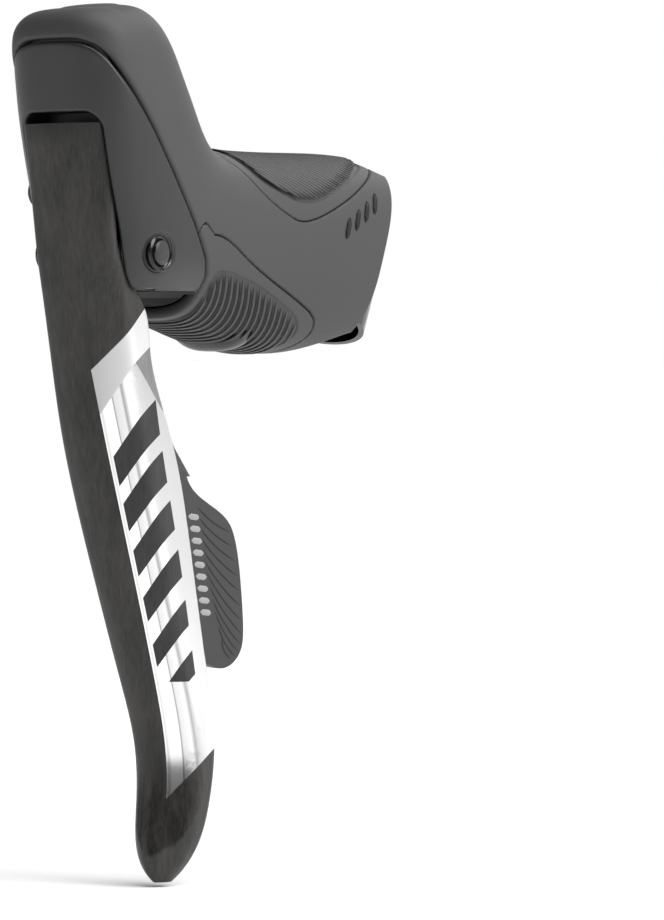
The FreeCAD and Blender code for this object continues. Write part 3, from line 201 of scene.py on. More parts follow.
def metal_look(name, colour, rough, along=(1, 1, 30)):
    look = Look(name, colour, rough, 1.0)
    lines = look.noise(900, 3, 0.6, along)
    stains = look.noise(160, 3, 0.55)
    dark = tuple(0.8 * c for c in colour)
    light = tuple(min(1.0, 1.1 * c) for c in colour)
    look.set("Base Color", look.mixed(stains, (*dark, 1), (*light, 1)))
    look.set("Roughness", look.ranged(lines, rough - 0.08, rough + 0.1))
    look.bump(lines, 0.08, 0.00003)
    return look.material


def carbon_parts(look):
    """The long mottled grain of a pressed fibre moulding: its colour factor and its height."""
    fibres = look.noise(1500, 4, 0.65, (1, 1, 0.12))
    clouds = look.noise(170, 4, 0.6, (1, 1, 0.35))
    fine = look.ranged(fibres, -0.05, 0.6, 0.3, 0.7)
    coarse = look.ranged(clouds, -0.15, 0.55, 0.3, 0.7)
    return look.maths("ADD", fine, coarse), fibres


# The blade's pattern.  A slope is a plane that rises across and to the rear: (across, back, offset).
BAND_TOP = (0.70, 0.88, 19.26)
BAND_FOOT = (1.28, 0.63, 34.2)
FIELD_FOOT = (0.825, 0.56, 127.6)
SEAM_X, SEAM_Z = 2.3, -24.6
SEAM_LEAN, SEAM_BEND = 0.115, -0.00025
BLOCK_PITCH = 12.5
BLOCK_MARGIN = 0.9
BLOCK_LOW, BLOCK_HIGH = (-95.0, 5.6), (-35.0, 8.6)  # z and a block's height there
LAST_BLOCK_Z = -90.0
REAR_LIMIT = (-0.16, -1.6)
CORNER_TOP, CORNER_LEAN, CORNER_REAR = -22.9, 0.823, -2.8  # the brushed corner below the satin band
CORNER_FOOT, CORNER_SIDE = -33.0, 8.0
TIP_FOOT, TIP_TOP = -116.0, -104.0
SHADE_FOOT, SHADE_TOP = 21.5, 26.0  # the blade's upper end, shaded by the fork
# Painted reflections on the mirror field: stripes of light and dark colour, read across from the seam.
REFLECTION_STREAK_WIDTH = 8.4
REFLECTION_STREAKS = [(0.0, 0.95), (0.05, 0.62), (0.12, 0.93), (0.33, 0.90), (0.355, 0.28), (0.385, 0.66), (0.55, 0.74),
           (0.60, 0.34), (0.65, 0.58), (0.70, 0.92), (0.86, 0.80), (1.0, 0.66)]


def blade_look(name):
    """Fibre moulding with a bright outer half: satin band, mirror field, slanting blocks, glossy tip."""
    look = Look(name, grey(0.1), 0.4, Specular_IOR_Level=0.4)
    x, y, z = look.axes()
    factor, fibres = carbon_parts(look)

    def over(slope):
        """Height over a slope."""
        across, back, offset = slope
        lean = look.maths("ADD", look.maths("MULTIPLY", x, across), look.maths("MULTIPLY", y, back))
        return look.maths("ADD", look.maths("SUBTRACT", z, lean), offset)

    def under(height):
        return look.maths("MULTIPLY", height, -1.0)

    def without(mask):
        return look.maths("SUBTRACT", 1.0, mask)

    fall = look.maths("SUBTRACT", SEAM_Z, z)
    seam = look.maths("MULTIPLY", look.maths("MULTIPLY_ADD", fall, SEAM_BEND, SEAM_LEAN), fall)
    past_seam = look.maths("SUBTRACT", x, look.maths("ADD", seam, SEAM_X))
    band_top = over(BAND_TOP)
    band_foot = over(BAND_FOOT)
    field_foot = over(FIELD_FOOT)
    bright = look.all_of(
        look.above(past_seam, 0.0),
        look.above(under(band_top), 0.0),
        look.above(field_foot, 0.0),
    )
    satin = look.all_of(bright, look.above(band_foot, 0.0))
    below_band = under(band_foot)
    corner_fall = look.maths("SUBTRACT", CORNER_TOP, z)
    corner_line = look.maths("MULTIPLY_ADD", corner_fall, CORNER_LEAN, CORNER_REAR)
    corner = look.all_of(
        bright,
        look.above(look.maths("SUBTRACT", y, corner_line), 0.0),
        look.above(below_band, 0.0),
        look.above(z, CORNER_FOOT),
        look.above(x, CORNER_SIDE),
    )
    # Slanting blocks, which shorten towards the tip.
    step = look.maths("MODULO", below_band, BLOCK_PITCH)
    block_height = look.ranged(z, BLOCK_LOW[1], BLOCK_HIGH[1], BLOCK_LOW[0], BLOCK_HIGH[0])
    rear_limit = look.maths("MULTIPLY_ADD", z, *REAR_LIMIT)
    blocks = look.all_of(
        look.above(look.maths("SUBTRACT", block_height, step), 0.0),
        look.above(past_seam, BLOCK_MARGIN),
        look.above(below_band, BLOCK_PITCH * 0.8),
        look.above(z, LAST_BLOCK_Z),
        look.above(look.maths("SUBTRACT", rear_limit, y), 0.0),
    )
    dark = look.maths("MAXIMUM", without(bright), look.maths("MAXIMUM", corner, blocks))
    mirror = look.maths("MULTIPLY", without(dark), without(satin))
    tip = look.ranged(z, 1.0, 0.0, TIP_FOOT, TIP_TOP)

    brushed = look.ranged(look.noise(900, 3, 0.6, (1, 1, 0.08)), 0.10, 0.26)
    carbon = look.mixed(factor, (0.006, 0.006, 0.006, 1), (0.040, 0.0375, 0.034, 1))
    shade = look.ranged(z, 0.0, 0.85, SHADE_FOOT, SHADE_TOP)
    carbon = look.mixed(shade, carbon, (0.002, 0.002, 0.002, 1))
    carbon = look.mixed(corner, carbon, brushed)
    block_paint = look.mixed(factor, (0.012, 0.012, 0.012, 1), (0.034, 0.034, 0.034, 1))
    carbon = look.mixed(blocks, carbon, block_paint)
    # Painted reflection: light and dark stripes in the mirror field's colour.
    reflection_streaks = look.ramp(look.maths("DIVIDE", past_seam, REFLECTION_STREAK_WIDTH, clamp=True), REFLECTION_STREAKS)
    silver = look.mixed(satin, reflection_streaks, look.ranged(x, 0.50, 0.70, 3.0, 10.5))
    look.set("Base Color", look.mixed(dark, silver, carbon))
    look.set("Metallic", look.maths("MULTIPLY", without(dark), look.blended(satin, 1.0, 0.75)))
    smudges = look.noise(220, 3, 0.6, (1, 1, 0.15))
    dark_rough = look.blended(tip, look.ranged(fibres, 0.40, 0.54), 0.16)
    bright_rough = look.blended(satin, look.ranged(smudges, 0.10, 0.24), 0.42)
    look.set("Roughness", look.blended(dark, bright_rough, dark_rough))
    ripple = look.maths("MULTIPLY", fibres, look.blended(mirror, 1.0, 0.12))
    look.bump(ripple, 0.12, 0.00004)
    return look.material


HOOD = rubber_look("hood_rubber", 0.042)
RIB = rubber_look("rib_rubber", 0.036, 0.6)
# Painted shade: a near-black rubber for the floors of the hood's pad grooves.
GROOVE_SHADE = rubber_look("painted_groove_shade", 0.004, 0.3, 0.2)
MARK = rubber_look("mark_rubber", 0.003, 0.3, 0.3)
GLOSS = moulded_look("gloss_plastic", 0.004, 0.14)
SHELL = moulded_look("shell_moulding", 0.016, 0.38)
PADDLE = moulded_look("paddle_moulding", 0.030, 0.5)
GROOVE = moulded_look("groove_shadow", 0.003, 0.6)
TICK = moulded_look("tick_paint", 0.30, 0.5)
BLADE = blade_look("blade_finish")
PLASTIC = moulded_look("black_plastic", 0.02, 0.45)
STEEL = metal_look("bright_steel", (0.62, 0.62, 0.64), 0.26)
WIRE = metal_look("spring_wire", (0.45, 0.45, 0.46), 0.34)
DARK_STEEL = metal_look("dark_steel", (0.09, 0.09, 0.10), 0.34)
PIN_STEEL = metal_look("pin_steel", (0.06, 0.06, 0.065), 0.22)
BAND = metal_look("band_steel", (0.05, 0.05, 0.055), 0.2, (1, 1, 60))
ALUMINIUM = metal_look("dark_aluminium", (0.16, 0.16, 0.17), 0.4)
BRIGHT_ALUMINIUM = metal_look("bright_aluminium", (0.62, 0.63, 0.65), 0.33)
BRASS = metal_look("bush_brass", (0.62, 0.44, 0.17), 0.32)
BLACK_RUBBER = rubber_look("seal_rubber", 0.02)
RED_PLASTIC = moulded_look("red_plastic", 0.10, 0.4)
LAMINATE = moulded_look("board_laminate", 0.05, 0.3)
LENS = moulded_look("light_lens", 0.6, 0.2)
for coloured, tint in ((RED_PLASTIC, (0.35, 0.03, 0.02)), (LAMINATE, (0.01, 0.09, 0.04))):
    mix = next(n for n in coloured.node_tree.nodes if n.type == "MIX")
    mix.inputs[6].default_value = (*[0.8 * c for c in tint], 1)
    mix.inputs[7].default_value = (*[1.2 * c for c in tint], 1)

NODE_LOOKS = {
    "pivot_pin": PIN_STEEL, "pivot_lock_screw": DARK_STEEL, "master_cylinder": BRIGHT_ALUMINIUM,
    "piston_spring": WIRE, "reservoir_bladder": BLACK_RUBBER, "reservoir_cap": ALUMINIUM,
    "reservoir_cap_screws": STEEL, "bleed_screw": STEEL, "bleed_screw_seal": BLACK_RUBBER,
    "hose_nut": STEEL, "clamp_band": BAND, "clamp_nut": STEEL, "clamp_bolt": DARK_STEEL,
    "clamp_washer": STEEL, "main_board": LAMINATE, "coin_cell": STEEL, "battery_contact": WIRE,
    "hatch_seal": BLACK_RUBBER, "battery_hatch": PLASTIC, "hatch_screws": DARK_STEEL,
    "button_board": LAMINATE, "status_light": LENS, "lever_return_spring": WIRE,
    "lever_carrier": ALUMINIUM, "carrier_screws": STEEL, "pivot_bushings": BRASS, "roller_pin": STEEL,
    "paddle_pin": STEEL, "paddle_switch": PLASTIC, "paddle_return_spring": WIRE, "cam_roller": STEEL,
    "reach_screw": STEEL, "switch_plunger": RED_PLASTIC, "master_piston": BRIGHT_ALUMINIUM,
    "piston_seals": BLACK_RUBBER, "function_button": PLASTIC, "main_body": SHELL, "lever_blade": BLADE,
    "shift_paddle": PADDLE,
}
for node, look in NODE_LOOKS.items():
    mesh = frame["nodes"][node].data
    mesh.materials.clear()
    mesh.materials.append(look)


# ----------------------------------------------------------------------------------------------------
# Mesh helpers
# ----------------------------------------------------------------------------------------------------
def make_piece(name, points, faces, materials, indices=None):
    """A mesh object from points in millimetres from the pivot."""
    mesh = bpy.data.meshes.new(name)
    mesh.from_pydata(placed(points).tolist(), [], [tuple(int(v) for v in face) for face in faces])
    for material in materials:
        mesh.materials.append(material)
    if indices is not None:
        mesh.polygons.foreach_set("material_index", np.asarray(indices, dtype=np.int32))
    mesh.polygons.foreach_set("use_smooth", np.full(len(mesh.polygons), True))
    mesh.validate()
    piece = bpy.data.objects.new(name, mesh)
    scene.collection.objects.link(piece)
    return piece


def curve_through(knots, values, at):
    """A natural cubic through values at knots, read off at other places."""
    knots, values, at = (np.asarray(a, dtype=float) for a in (knots, values, at))
    shape = values.shape[1:]
    values = values.reshape(len(knots), -1)
    step = np.diff(knots)
    count = len(knots)
    matrix = np.eye(count)
    right = np.zeros_like(values)
    for k in range(1, count - 1):
        matrix[k, k - 1] = step[k - 1]
        matrix[k, k] = 2 * (step[k - 1] + step[k])
        matrix[k, k + 1] = step[k]
        right[k] = 6 * ((values[k + 1] - values[k]) / step[k] - (values[k] - values[k - 1]) / step[k - 1])
    bend = np.linalg.solve(matrix, right)
    k = np.clip(np.searchsorted(knots, at) - 1, 0, count - 2)
    span = step[k][:, None]
    left = (knots[k + 1] - at)[:, None]
    past = (at - knots[k])[:, None]
    result = (
        (bend[k] * left**3 + bend[k + 1] * past**3) / (6 * span)
        + (values[k] / span - bend[k] * span / 6) * left
        + (values[k + 1] / span - bend[k + 1] * span / 6) * past
    )
    return result.reshape((len(at),) + shape)


def grid_faces(rows, columns, start=0):
    """Quads of a grid that closes on itself across its columns."""
    faces = []
    for row in range(rows - 1):
        for column in range(columns):
            after = (column + 1) % columns
            a = start + row * columns + column
            b = start + row * columns + after
            faces.append((a, a + columns, b + columns, b))
    return faces


class Cuts:
    """New points where edges cross the zero of a value, each made once."""

    def __init__(self, points, values):
        self.points = points
        self.values = values
        self.extra = []
        self.made = {}

    def between(self, a, b):
        key = (min(a, b), max(a, b))
        if key not in self.made:
            share = self.values[a] / (self.values[a] - self.values[b])
            self.made[key] = len(self.points) + len(self.extra)
            self.extra.append(self.points[a] + (self.points[b] - self.points[a]) * share)
        return self.made[key]

    def all_points(self):
        return np.vstack([self.points, np.array(self.extra)]) if self.extra else self.points


def clip(points, faces, values):
    """The part of a mesh where values are positive.  Edges that cross zero are cut there."""
    cuts = Cuts(points, values)
    kept = []
    inside = values > 0
    for face in faces:
        flags = inside[list(face)]
        if flags.all():
            kept.append(face)
            continue
        if not flags.any():
            continue
        outline = []
        for k, a in enumerate(face):
            b = face[(k + 1) % len(face)]
            if inside[a]:
                outline.append(a)
            if inside[a] != inside[b]:
                outline.append(cuts.between(a, b))
        if len(outline) >= 3:
            kept.append(tuple(outline))
    points = cuts.all_points()
    used = np.zeros(len(points), dtype=bool)
    for face in kept:
        used[list(face)] = True
    renumber = np.cumsum(used) - 1
    return points[used], [tuple(renumber[list(face)]) for face in kept]


def split(points, faces, field, least=0.02):
    """Cuts every face that the zero line of a field crosses.  Field takes points and gives values."""
    values = field(points)
    values = np.where(np.abs(values) < least, np.where(values < 0, -least, least), values)
    cuts = Cuts(points, values)
    positive = values > 0
    result = []
    for face in faces:
        flags = [positive[v] for v in face]
        if all(flags) or not any(flags):
            result.append(face)
            continue
        halves = {True: [], False: []}
        for k, a in enumerate(face):
            b = face[(k + 1) % len(face)]
            halves[flags[k]].append(a)
            if flags[k] != flags[(k + 1) % len(face)]:
                cut = cuts.between(a, b)
                halves[True].append(cut)
                halves[False].append(cut)
        result += [tuple(half) for half in halves.values() if len(half) >= 3]
    return cuts.all_points(), result


def split_at_levels(points, faces, field, levels):
    """Cuts the faces along several level lines of one field."""
    for level in levels:
        points, faces = split(points, faces, lambda at, value=level: field(at) - value)
    return points, faces


def vertex_normals(points, faces):
    """Area-weighted normals."""
    normals = np.zeros_like(points)
    for size in {len(face) for face in faces}:
        ring = np.array([face for face in faces if len(face) == size])
        corners = points[ring]
        area = np.zeros((len(ring), 3))
        for k in range(1, size - 1):
            area += np.cross(corners[:, k] - corners[:, 0], corners[:, k + 1] - corners[:, 0])
        for k in range(size):
            np.add.at(normals, ring[:, k], area)
    return normals / np.maximum(np.linalg.norm(normals, axis=1, keepdims=True), 1e-9)


def thickened(points, faces, normals, sunk, depth):
    """A closed wall: the faces sunk by a field, a copy at a depth, and a rim along every open edge."""
    count = len(points)
    edges = {}
    for face in faces:
        for k, a in enumerate(face):
            edges[(a, face[(k + 1) % len(face)])] = True
    rims = [(b, a, a + count, b + count) for a, b in edges if (b, a) not in edges]
    inner = [tuple(v + count for v in reversed(face)) for face in faces]
    both = np.vstack([points - normals * sunk[:, None], points - normals * depth])
    return both, faces + inner + rims


def polygon_distance(y, z, outline):
    """Signed distance to a closed outline in side view, positive inside."""
    best = np.full(y.shape, 1e9)
    inside = np.zeros(y.shape, dtype=bool)
    count = len(outline)
    for k in range(count):
        ay, az = outline[k]
        by, bz = outline[(k + 1) % count]
        ey, ez = by - ay, bz - az
        share = np.clip(((y - ay) * ey + (z - az) * ez) / (ey * ey + ez * ez), 0, 1)
        best = np.minimum(best, np.hypot(y - ay - share * ey, z - az - share * ez))
        if az != bz:
            crosses = ((az > z) != (bz > z)) & (y < ey * (z - az) / ez + ay)
            inside ^= crosses
    return np.where(inside, best, -best)


def softened(points, samples=8):
    """A smooth line through given points."""
    points = np.asarray(points, dtype=float)
    knots = np.concatenate([[0], np.cumsum(np.linalg.norm(np.diff(points, axis=0), axis=1))])
    at = np.linspace(0, knots[-1], samples * (len(points) - 1) + 1)
    return curve_through(knots, points, at)


# A ridge's section: share of its width, and share of its height.  A negative height is its sunk foot.
RIDGE_PROFILE = [(-0.5, -1.0), (-0.42, 0.35), (-0.2, 0.9), (0.0, 1.0), (0.2, 0.9), (0.42, 0.35), (0.5, -1.0)]
RIDGE_SINK = 0.15
RIDGE_TAPER = 3.0


def ridge(lines, normals, width, height):
    """Low rounded ridges along lines on a surface, with tapered ends.  Returns points and faces."""
    all_points, all_faces = [], []
    start = 0
    for line, normal in zip(lines, normals):
        count = len(line)
        along = np.gradient(line, axis=0)
        along /= np.linalg.norm(along, axis=1, keepdims=True)
        across = np.cross(along, normal)
        across /= np.linalg.norm(across, axis=1, keepdims=True)
        from_end = np.minimum(np.arange(count), np.arange(count)[::-1])
        ramp = np.minimum(1.0, from_end / RIDGE_TAPER)
        rows = []
        for share, level in RIDGE_PROFILE:
            lift = np.where(level > 0, level * height * ramp, -RIDGE_SINK)[:, None]
            rows.append(line + across * share * width * (0.3 + 0.7 * ramp)[:, None] + normal * lift)
        grid = np.stack(rows, axis=1)
        size = len(RIDGE_PROFILE)
        all_points.append(grid.reshape(-1, 3))
        all_faces += grid_faces(count, size, start)
        all_faces.append(tuple(range(start + size - 1, start - 1, -1)))
        last = start + (count - 1) * size
        all_faces.append(tuple(range(last, last + size)))
        start += count * size
    return np.vstack(all_points), all_faces


def rolled(distance, radius):
    """How far a surface rolls under, a given distance from its edge."""
    run = np.clip(radius - distance, 0, radius)
    return radius - np.sqrt(np.maximum(radius * radius - run * run, 0))


def groove(distance, half_width, depth):
    """How far a rounded groove sinks a surface, a given distance from its middle."""
    return depth * np.clip(1 - (distance / half_width) ** 2, 0, 1)


def step_down(distance, width, depth):
    """How far a soft step, from 0 to depth over its width, sinks a surface."""
    share = np.clip(distance / width, 0, 1)
    return depth * share * share * (3 - 2 * share)


# ----------------------------------------------------------------------------------------------------
# The skin: one bent boot, from the top of the horn to the rear of the grip
# ----------------------------------------------------------------------------------------------------
SKIN = np.array([  # rear or top y, z; front or lower y, z; half width; squareness
    (0.0, 52.7, -10.0, 52.7, 6.0, 2.4),
    (3.5, 51.5, -15.5, 51.5, 10.5, 2.6),
    (6.5, 49.0, -18.0, 49.0, 13.0, 2.8),
    (9.8, 45.0, -19.0, 45.0, 14.5, 3.0),
    (14.5, 38.0, -18.3, 38.0, 15.3, 3.0),
    (18.2, 32.2, -17.0, 30.0, 15.7, 3.0),
    (21.3, 28.2, -14.0, 16.5, 15.8, 3.0),
    (24.6, 25.2, -10.0, 1.5, 15.9, 3.0),
    (28.4, 23.6, -6.0, -9.6, 15.9, 2.9),
    (32.6, 23.0, 11.7, -13.2, 16.0, 2.8),
    (38.0, 22.8, 33.0, -17.6, 16.2, 2.7),
    (52.0, 22.8, 48.0, -20.4, 17.0, 2.6),
    (66.0, 23.1, 58.0, -21.1, 17.9, 2.7),
    (78.0, 23.2, 66.0, -21.2, 18.5, 2.85),
    (90.0, 22.6, 72.0, -20.5, 18.8, 3.0),
])
GRIP_START = 6
PARTING = [
    (-26.0, 46.0), (-19.0, 43.4), (-17.2, 41.8), (-15.0, 39.5), (-3.1, 25.0), (3.4, 16.6), (10.7, 6.5),
    (15.0, -1.0), (16.1, -5.0), (15.2, -8.5), (13.5, -24.0),
]
BAR_POINT = np.array([0.0, 80.0, -8.0])
BAR_AXIS = np.array([0.0, math.sin(math.radians(25)), math.cos(math.radians(25))])
BAR_OPENING = 14.4
HOOD_WALL = 2.2
SECTION_STEPS = 1440


def skin_knots():
    """Places of the skin's stations along its length."""
    ends = (SKIN[:, 0:2], SKIN[:, 2:4])
    steps = sum(np.linalg.norm(np.diff(end, axis=0), axis=1) for end in ends) / 2
    return np.concatenate([[0.0], np.cumsum(steps)])


def skin_grid(rows, columns, inset):
    """Points of the skin, row by row from the top, each row spaced evenly round its section."""
    knots = skin_knots()
    stations = curve_through(knots, SKIN, np.linspace(0, knots[-1], rows))
    angle = np.linspace(0, 2 * math.pi, SECTION_STEPS + 1)
    grid = np.zeros((rows, columns, 3))
    for row, (rear_y, rear_z, front_y, front_z, half_width, squareness) in enumerate(stations):
        middle = np.array([(rear_y + front_y) / 2, (rear_z + front_z) / 2])
        reach = np.array([rear_y - front_y, rear_z - front_z])
        length = np.linalg.norm(reach)
        power = 2 / squareness
        side = np.sign(np.cos(angle)) * np.abs(np.cos(angle)) ** power * (half_width - inset)
        run = np.sign(np.sin(angle)) * np.abs(np.sin(angle)) ** power * (length / 2 - inset)
        line = np.column_stack([
            side,
            middle[0] + reach[0] / length * run,
            middle[1] + reach[1] / length * run,
        ])
        travelled = np.concatenate([[0], np.cumsum(np.linalg.norm(np.diff(line, axis=0), axis=1))])
        at = np.linspace(0, travelled[-1], columns + 1)[:-1]
        grid[row] = np.column_stack([np.interp(at, travelled, line[:, k]) for k in range(3)])
    return grid


def grid_normals(grid):
    """Outward normals of the skin's grid."""
    down = np.gradient(grid, axis=0)
    round_it = np.roll(grid, -1, axis=1) - np.roll(grid, 1, axis=1)
    normals = np.cross(down, round_it)
    return -normals / np.linalg.norm(normals, axis=2, keepdims=True)


def with_dome(grid, rise, rings):
    """The grid's points and faces, with a low dome over its first row."""
    rows, columns, _ = grid.shape
    top = grid[0]
    centre = top.mean(axis=0)
    crown = []
    for k in range(rings, 0, -1):
        turn = math.pi / 2 * k / (rings + 0.5)
        ring = centre + (top - centre) * math.cos(turn)
        ring[:, 2] = top[:, 2] + rise * math.sin(turn)
        crown.append(ring)
    stack = np.vstack([np.array(crown), grid])
    points = stack.reshape(-1, 3)
    faces = grid_faces(rows + rings, columns)
    faces.append(tuple(range(columns)))
    return points, faces


def parting_distance(points, outline=PARTING):
    """Distance behind the line where the hood ends, in side view."""
    region = outline + [(120.0, -24.0), (120.0, 90.0), (-26.0, 90.0)]
    return polygon_distance(points[:, 1], points[:, 2], region)


def bar_distance(points):
    """Distance outside the opening for the bar."""
    offset = points - BAR_POINT
    along = offset @ BAR_AXIS
    return np.linalg.norm(offset - along[:, None] * BAR_AXIS, axis=1) - BAR_OPENING


REAR_TOP, REAR_FOOT = SKIN[-1, 0:2], SKIN[-1, 2:4]
REAR_RUN = (REAR_TOP - REAR_FOOT) / np.linalg.norm(REAR_TOP - REAR_FOOT)


def rear_distance(points):
    """Distance ahead of the hood's rear edge."""
    return -((points[:, 1] - REAR_FOOT[0]) * REAR_RUN[1] - (points[:, 2] - REAR_FOOT[1]) * REAR_RUN[0])


# Pad outlines in side view.  Both pads run over the grip from side to side.
TOP_BORDER = np.vstack([
    softened([(27.5, 23.5), (29.0, 21.5), (32.1, 19.0), (37.8, 13.7), (42.0, 10.9), (46.0, 9.0),
              (49.8, 7.8), (53.8, 8.0), (62.9, 10.7), (72.7, 14.7), (79.5, 18.1), (82.6, 20.4),
              (83.5, 23.0)]),
    [(83.5, 60.0), (27.5, 60.0)],
])
TOP_INNER = np.vstack([
    softened([(33.0, 23.5), (34.0, 21.4), (36.2, 18.7), (39.2, 16.0), (43.9, 14.2), (47.4, 12.7),
              (52.4, 11.7), (57.1, 12.0), (64.2, 14.0), (71.8, 17.0), (77.7, 19.7), (80.2, 21.1),
              (81.0, 23.0)]),
    [(81.0, 60.0), (33.0, 60.0)],
])
LOW_BORDER = np.vstack([
    softened([(15.6, -12.6), (14.9, -4.0), (15.4, 3.4), (19.0, 4.1), (22.6, 3.3), (29.7, -0.4),
              (42.3, -6.4), (53.8, -11.4), (57.6, -14.1), (58.4, -16.6), (56.0, -20.4)]),
    [(55.0, -45.0), (15.6, -45.0)],
])
LOW_INNER = np.vstack([
    softened([(17.8, -12.0), (18.0, -6.0), (19.4, -4.0), (22.0, -3.3), (27.7, -4.1), (36.5, -6.7),
              (46.9, -10.9), (52.5, -14.3), (53.9, -17.0), (52.6, -20.0)]),
    [(52.4, -45.0), (17.8, -45.0)],
])
PAD_DROP = 0.32
PAD_STEP = 0.35
PAD_MIDDLE = 53.0
PAD_BOW = 0.08
GRIP_HALF = 16.5


def bowed(points):
    """Side view with y drawn in towards the top pad's middle over the crest, so that its ends bow out."""
    share = 1 - np.clip(np.abs(points[:, 0]) / GRIP_HALF, 0, 1) ** 2
    return PAD_MIDDLE + (points[:, 1] - PAD_MIDDLE) * (1 - PAD_BOW * share), points[:, 2]


def top_border(points):
    return polygon_distance(*bowed(points), TOP_BORDER)


def top_inner(points):
    return polygon_distance(*bowed(points), TOP_INNER)


def low_border(points):
    """Signed distance to the lower pad's border, whose front end stays smooth."""
    smooth_front = np.clip(18.0 - points[:, 1], 0, 3)
    return polygon_distance(points[:, 1], points[:, 2], LOW_BORDER) + smooth_front


def low_inner(points):
    return polygon_distance(points[:, 1], points[:, 2], LOW_INNER)


HOOD_GAP = 0.35
HOOD_ROLL = 0.9


def hood_edge(points):
    """Distance from the nearest rim of the hood."""
    shifted = [(y + HOOD_GAP, z + HOOD_GAP) for y, z in PARTING]
    nearest = np.minimum(parting_distance(points, shifted), bar_distance(points))
    return np.minimum(nearest, rear_distance(points) + 0.01)


HOOD_ROWS, HOOD_COLUMNS = 290, 250
hood_grid = skin_grid(HOOD_ROWS, HOOD_COLUMNS, 0.0)
hood_normals = grid_normals(hood_grid)
points, faces = with_dome(hood_grid, 0.5, 9)
# The horn's top slopes down to the front.
SLOPE_FOOT, SLOPE_RISE = 45.0, 7.7
SLOPE_REAR, SLOPE_REACH, SLOPE = 5.0, 14.0, 0.13
rise = np.clip((points[:, 2] - SLOPE_FOOT) / SLOPE_RISE, 0, 1)
points[:, 2] -= rise * np.clip(SLOPE_REAR - points[:, 1], 0, SLOPE_REACH) * SLOPE
points, faces = clip(points, faces, hood_edge(points))
TOP_GROOVE, LOW_GROOVE = 0.30, 0.34
TOP_DEPTH, LOW_DEPTH = 0.5, 0.55
SCORES = [
    (hood_edge, (0.15, 0.45, HOOD_ROLL)),
    (top_border, (-TOP_GROOVE, -0.14, 0.14, TOP_GROOVE)),
    (top_inner, (0.0, PAD_STEP)),
    (low_border, (-LOW_GROOVE, -0.16, 0.16, LOW_GROOVE)),
    (low_inner, (0.0, PAD_STEP)),
]
for field, levels in SCORES:
    points, faces = split_at_levels(points, faces, field, levels)
# Faces on the floors of the pad grooves take the near-black rubber, painted shade in the grooves.
centres = np.array([points[list(face)].mean(axis=0) for face in faces])
in_top_groove = np.abs(top_border(centres)) < TOP_GROOVE * 0.6
in_low_groove = np.abs(low_border(centres)) < LOW_GROOVE * 0.6
in_groove = (in_top_groove | in_low_groove) & (hood_edge(centres) > HOOD_ROLL)
normals = vertex_normals(points, faces)
sunk = (
    rolled(hood_edge(points), HOOD_ROLL)
    + groove(top_border(points), TOP_GROOVE, TOP_DEPTH)
    + step_down(top_inner(points), PAD_STEP, PAD_DROP)
    + groove(low_border(points), LOW_GROOVE, LOW_DEPTH)
    + step_down(low_inner(points), PAD_STEP, PAD_DROP)
)
hood_points, hood_faces = thickened(points, faces, normals, sunk, HOOD_WALL)
groove_index = np.zeros(len(hood_faces), dtype=np.int32)
groove_index[:len(faces)] = in_groove
hood = make_piece("hood_boot", hood_points, hood_faces, [HOOD, GROOVE_SHADE], groove_index)
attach(hood, "body")
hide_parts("hood")


# Ribs of the pads.  Each follows one line over the skin, from one side to the other.
RIB_MARGIN = 0.7
SHORTEST_RIB = 7


def skin_lines(columns, first, last, pitch, target, mask, sink):
    """Lines over the grip where y equals target(start, x, z), kept where mask is over RIB_MARGIN."""
    knots = skin_knots()
    first_row = int(np.searchsorted(np.linspace(0, 1, HOOD_ROWS) * knots[-1], knots[GRIP_START]))
    lines, line_normals = [], []
    rows = np.arange(first_row, HOOD_ROWS)
    for start in np.arange(first, last, pitch):
        spots, facing = [], []
        for column in columns:
            track = hood_grid[first_row:, column]
            goal = start
            for _ in range(4):
                row = np.interp(goal, track[:, 1], rows)
                x = np.interp(goal, track[:, 1], track[:, 0])
                z = np.interp(goal, track[:, 1], track[:, 2])
                goal = target(start, x, z)
            low = int(min(row, HOOD_ROWS - 2))
            share = row - low
            spots.append(hood_grid[low, column] * (1 - share) + hood_grid[low + 1, column] * share)
            facing.append(hood_normals[low, column] * (1 - share) + hood_normals[low + 1, column] * share)
        spots, facing = np.array(spots), np.array(facing)
        kept = mask(spots) > RIB_MARGIN
        begin = None
        for k in range(len(kept) + 1):
            on = k < len(kept) and kept[k]
            if on and begin is None:
                begin = k
            if not on and begin is not None:
                if k - begin > SHORTEST_RIB:
                    lines.append(spots[begin:k] - facing[begin:k] * sink)
                    line_normals.append(facing[begin:k])
                begin = None
    return lines, line_normals


def add_ribs(name, lines, line_normals, width, height, look, body, slot):
    """One piece of ridges along lines, riding on a body."""
    rib_points, rib_faces = ridge(lines, line_normals, width, height)
    ribs = make_piece(name, rib_points, rib_faces, [look])
    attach(ribs, body)


TOP_RIB_PITCH, LOW_RIB_PITCH = 1.7, 1.95
RIB_WIDTH = 0.85
TOP_RIB_HEIGHT, LOW_RIB_HEIGHT = 0.26, 0.30
half = HOOD_COLUMNS // 2
top_lines = skin_lines(
    range(1, half), 20.0, 84.0, TOP_RIB_PITCH,
    lambda start, x, z: start + 2.0 * (22.6 - z) + 0.12 * abs(x) - 3.0,
    top_inner, PAD_DROP,
)
add_ribs("top_pad_ribs", *top_lines, RIB_WIDTH, TOP_RIB_HEIGHT, RIB, "body", "hood_rubber")
low_lines = skin_lines(
    range(half + 1, HOOD_COLUMNS), 16.0, 64.0, LOW_RIB_PITCH,
    lambda start, x, z: start - 0.32 * (z + 20.0),
    low_inner, PAD_DROP,
)
add_ribs("lower_pad_ribs", *low_lines, RIB_WIDTH, LOW_RIB_HEIGHT, RIB, "body", "hood_rubber")


OUTER_SIDE = 8.0
NEAREST = 4


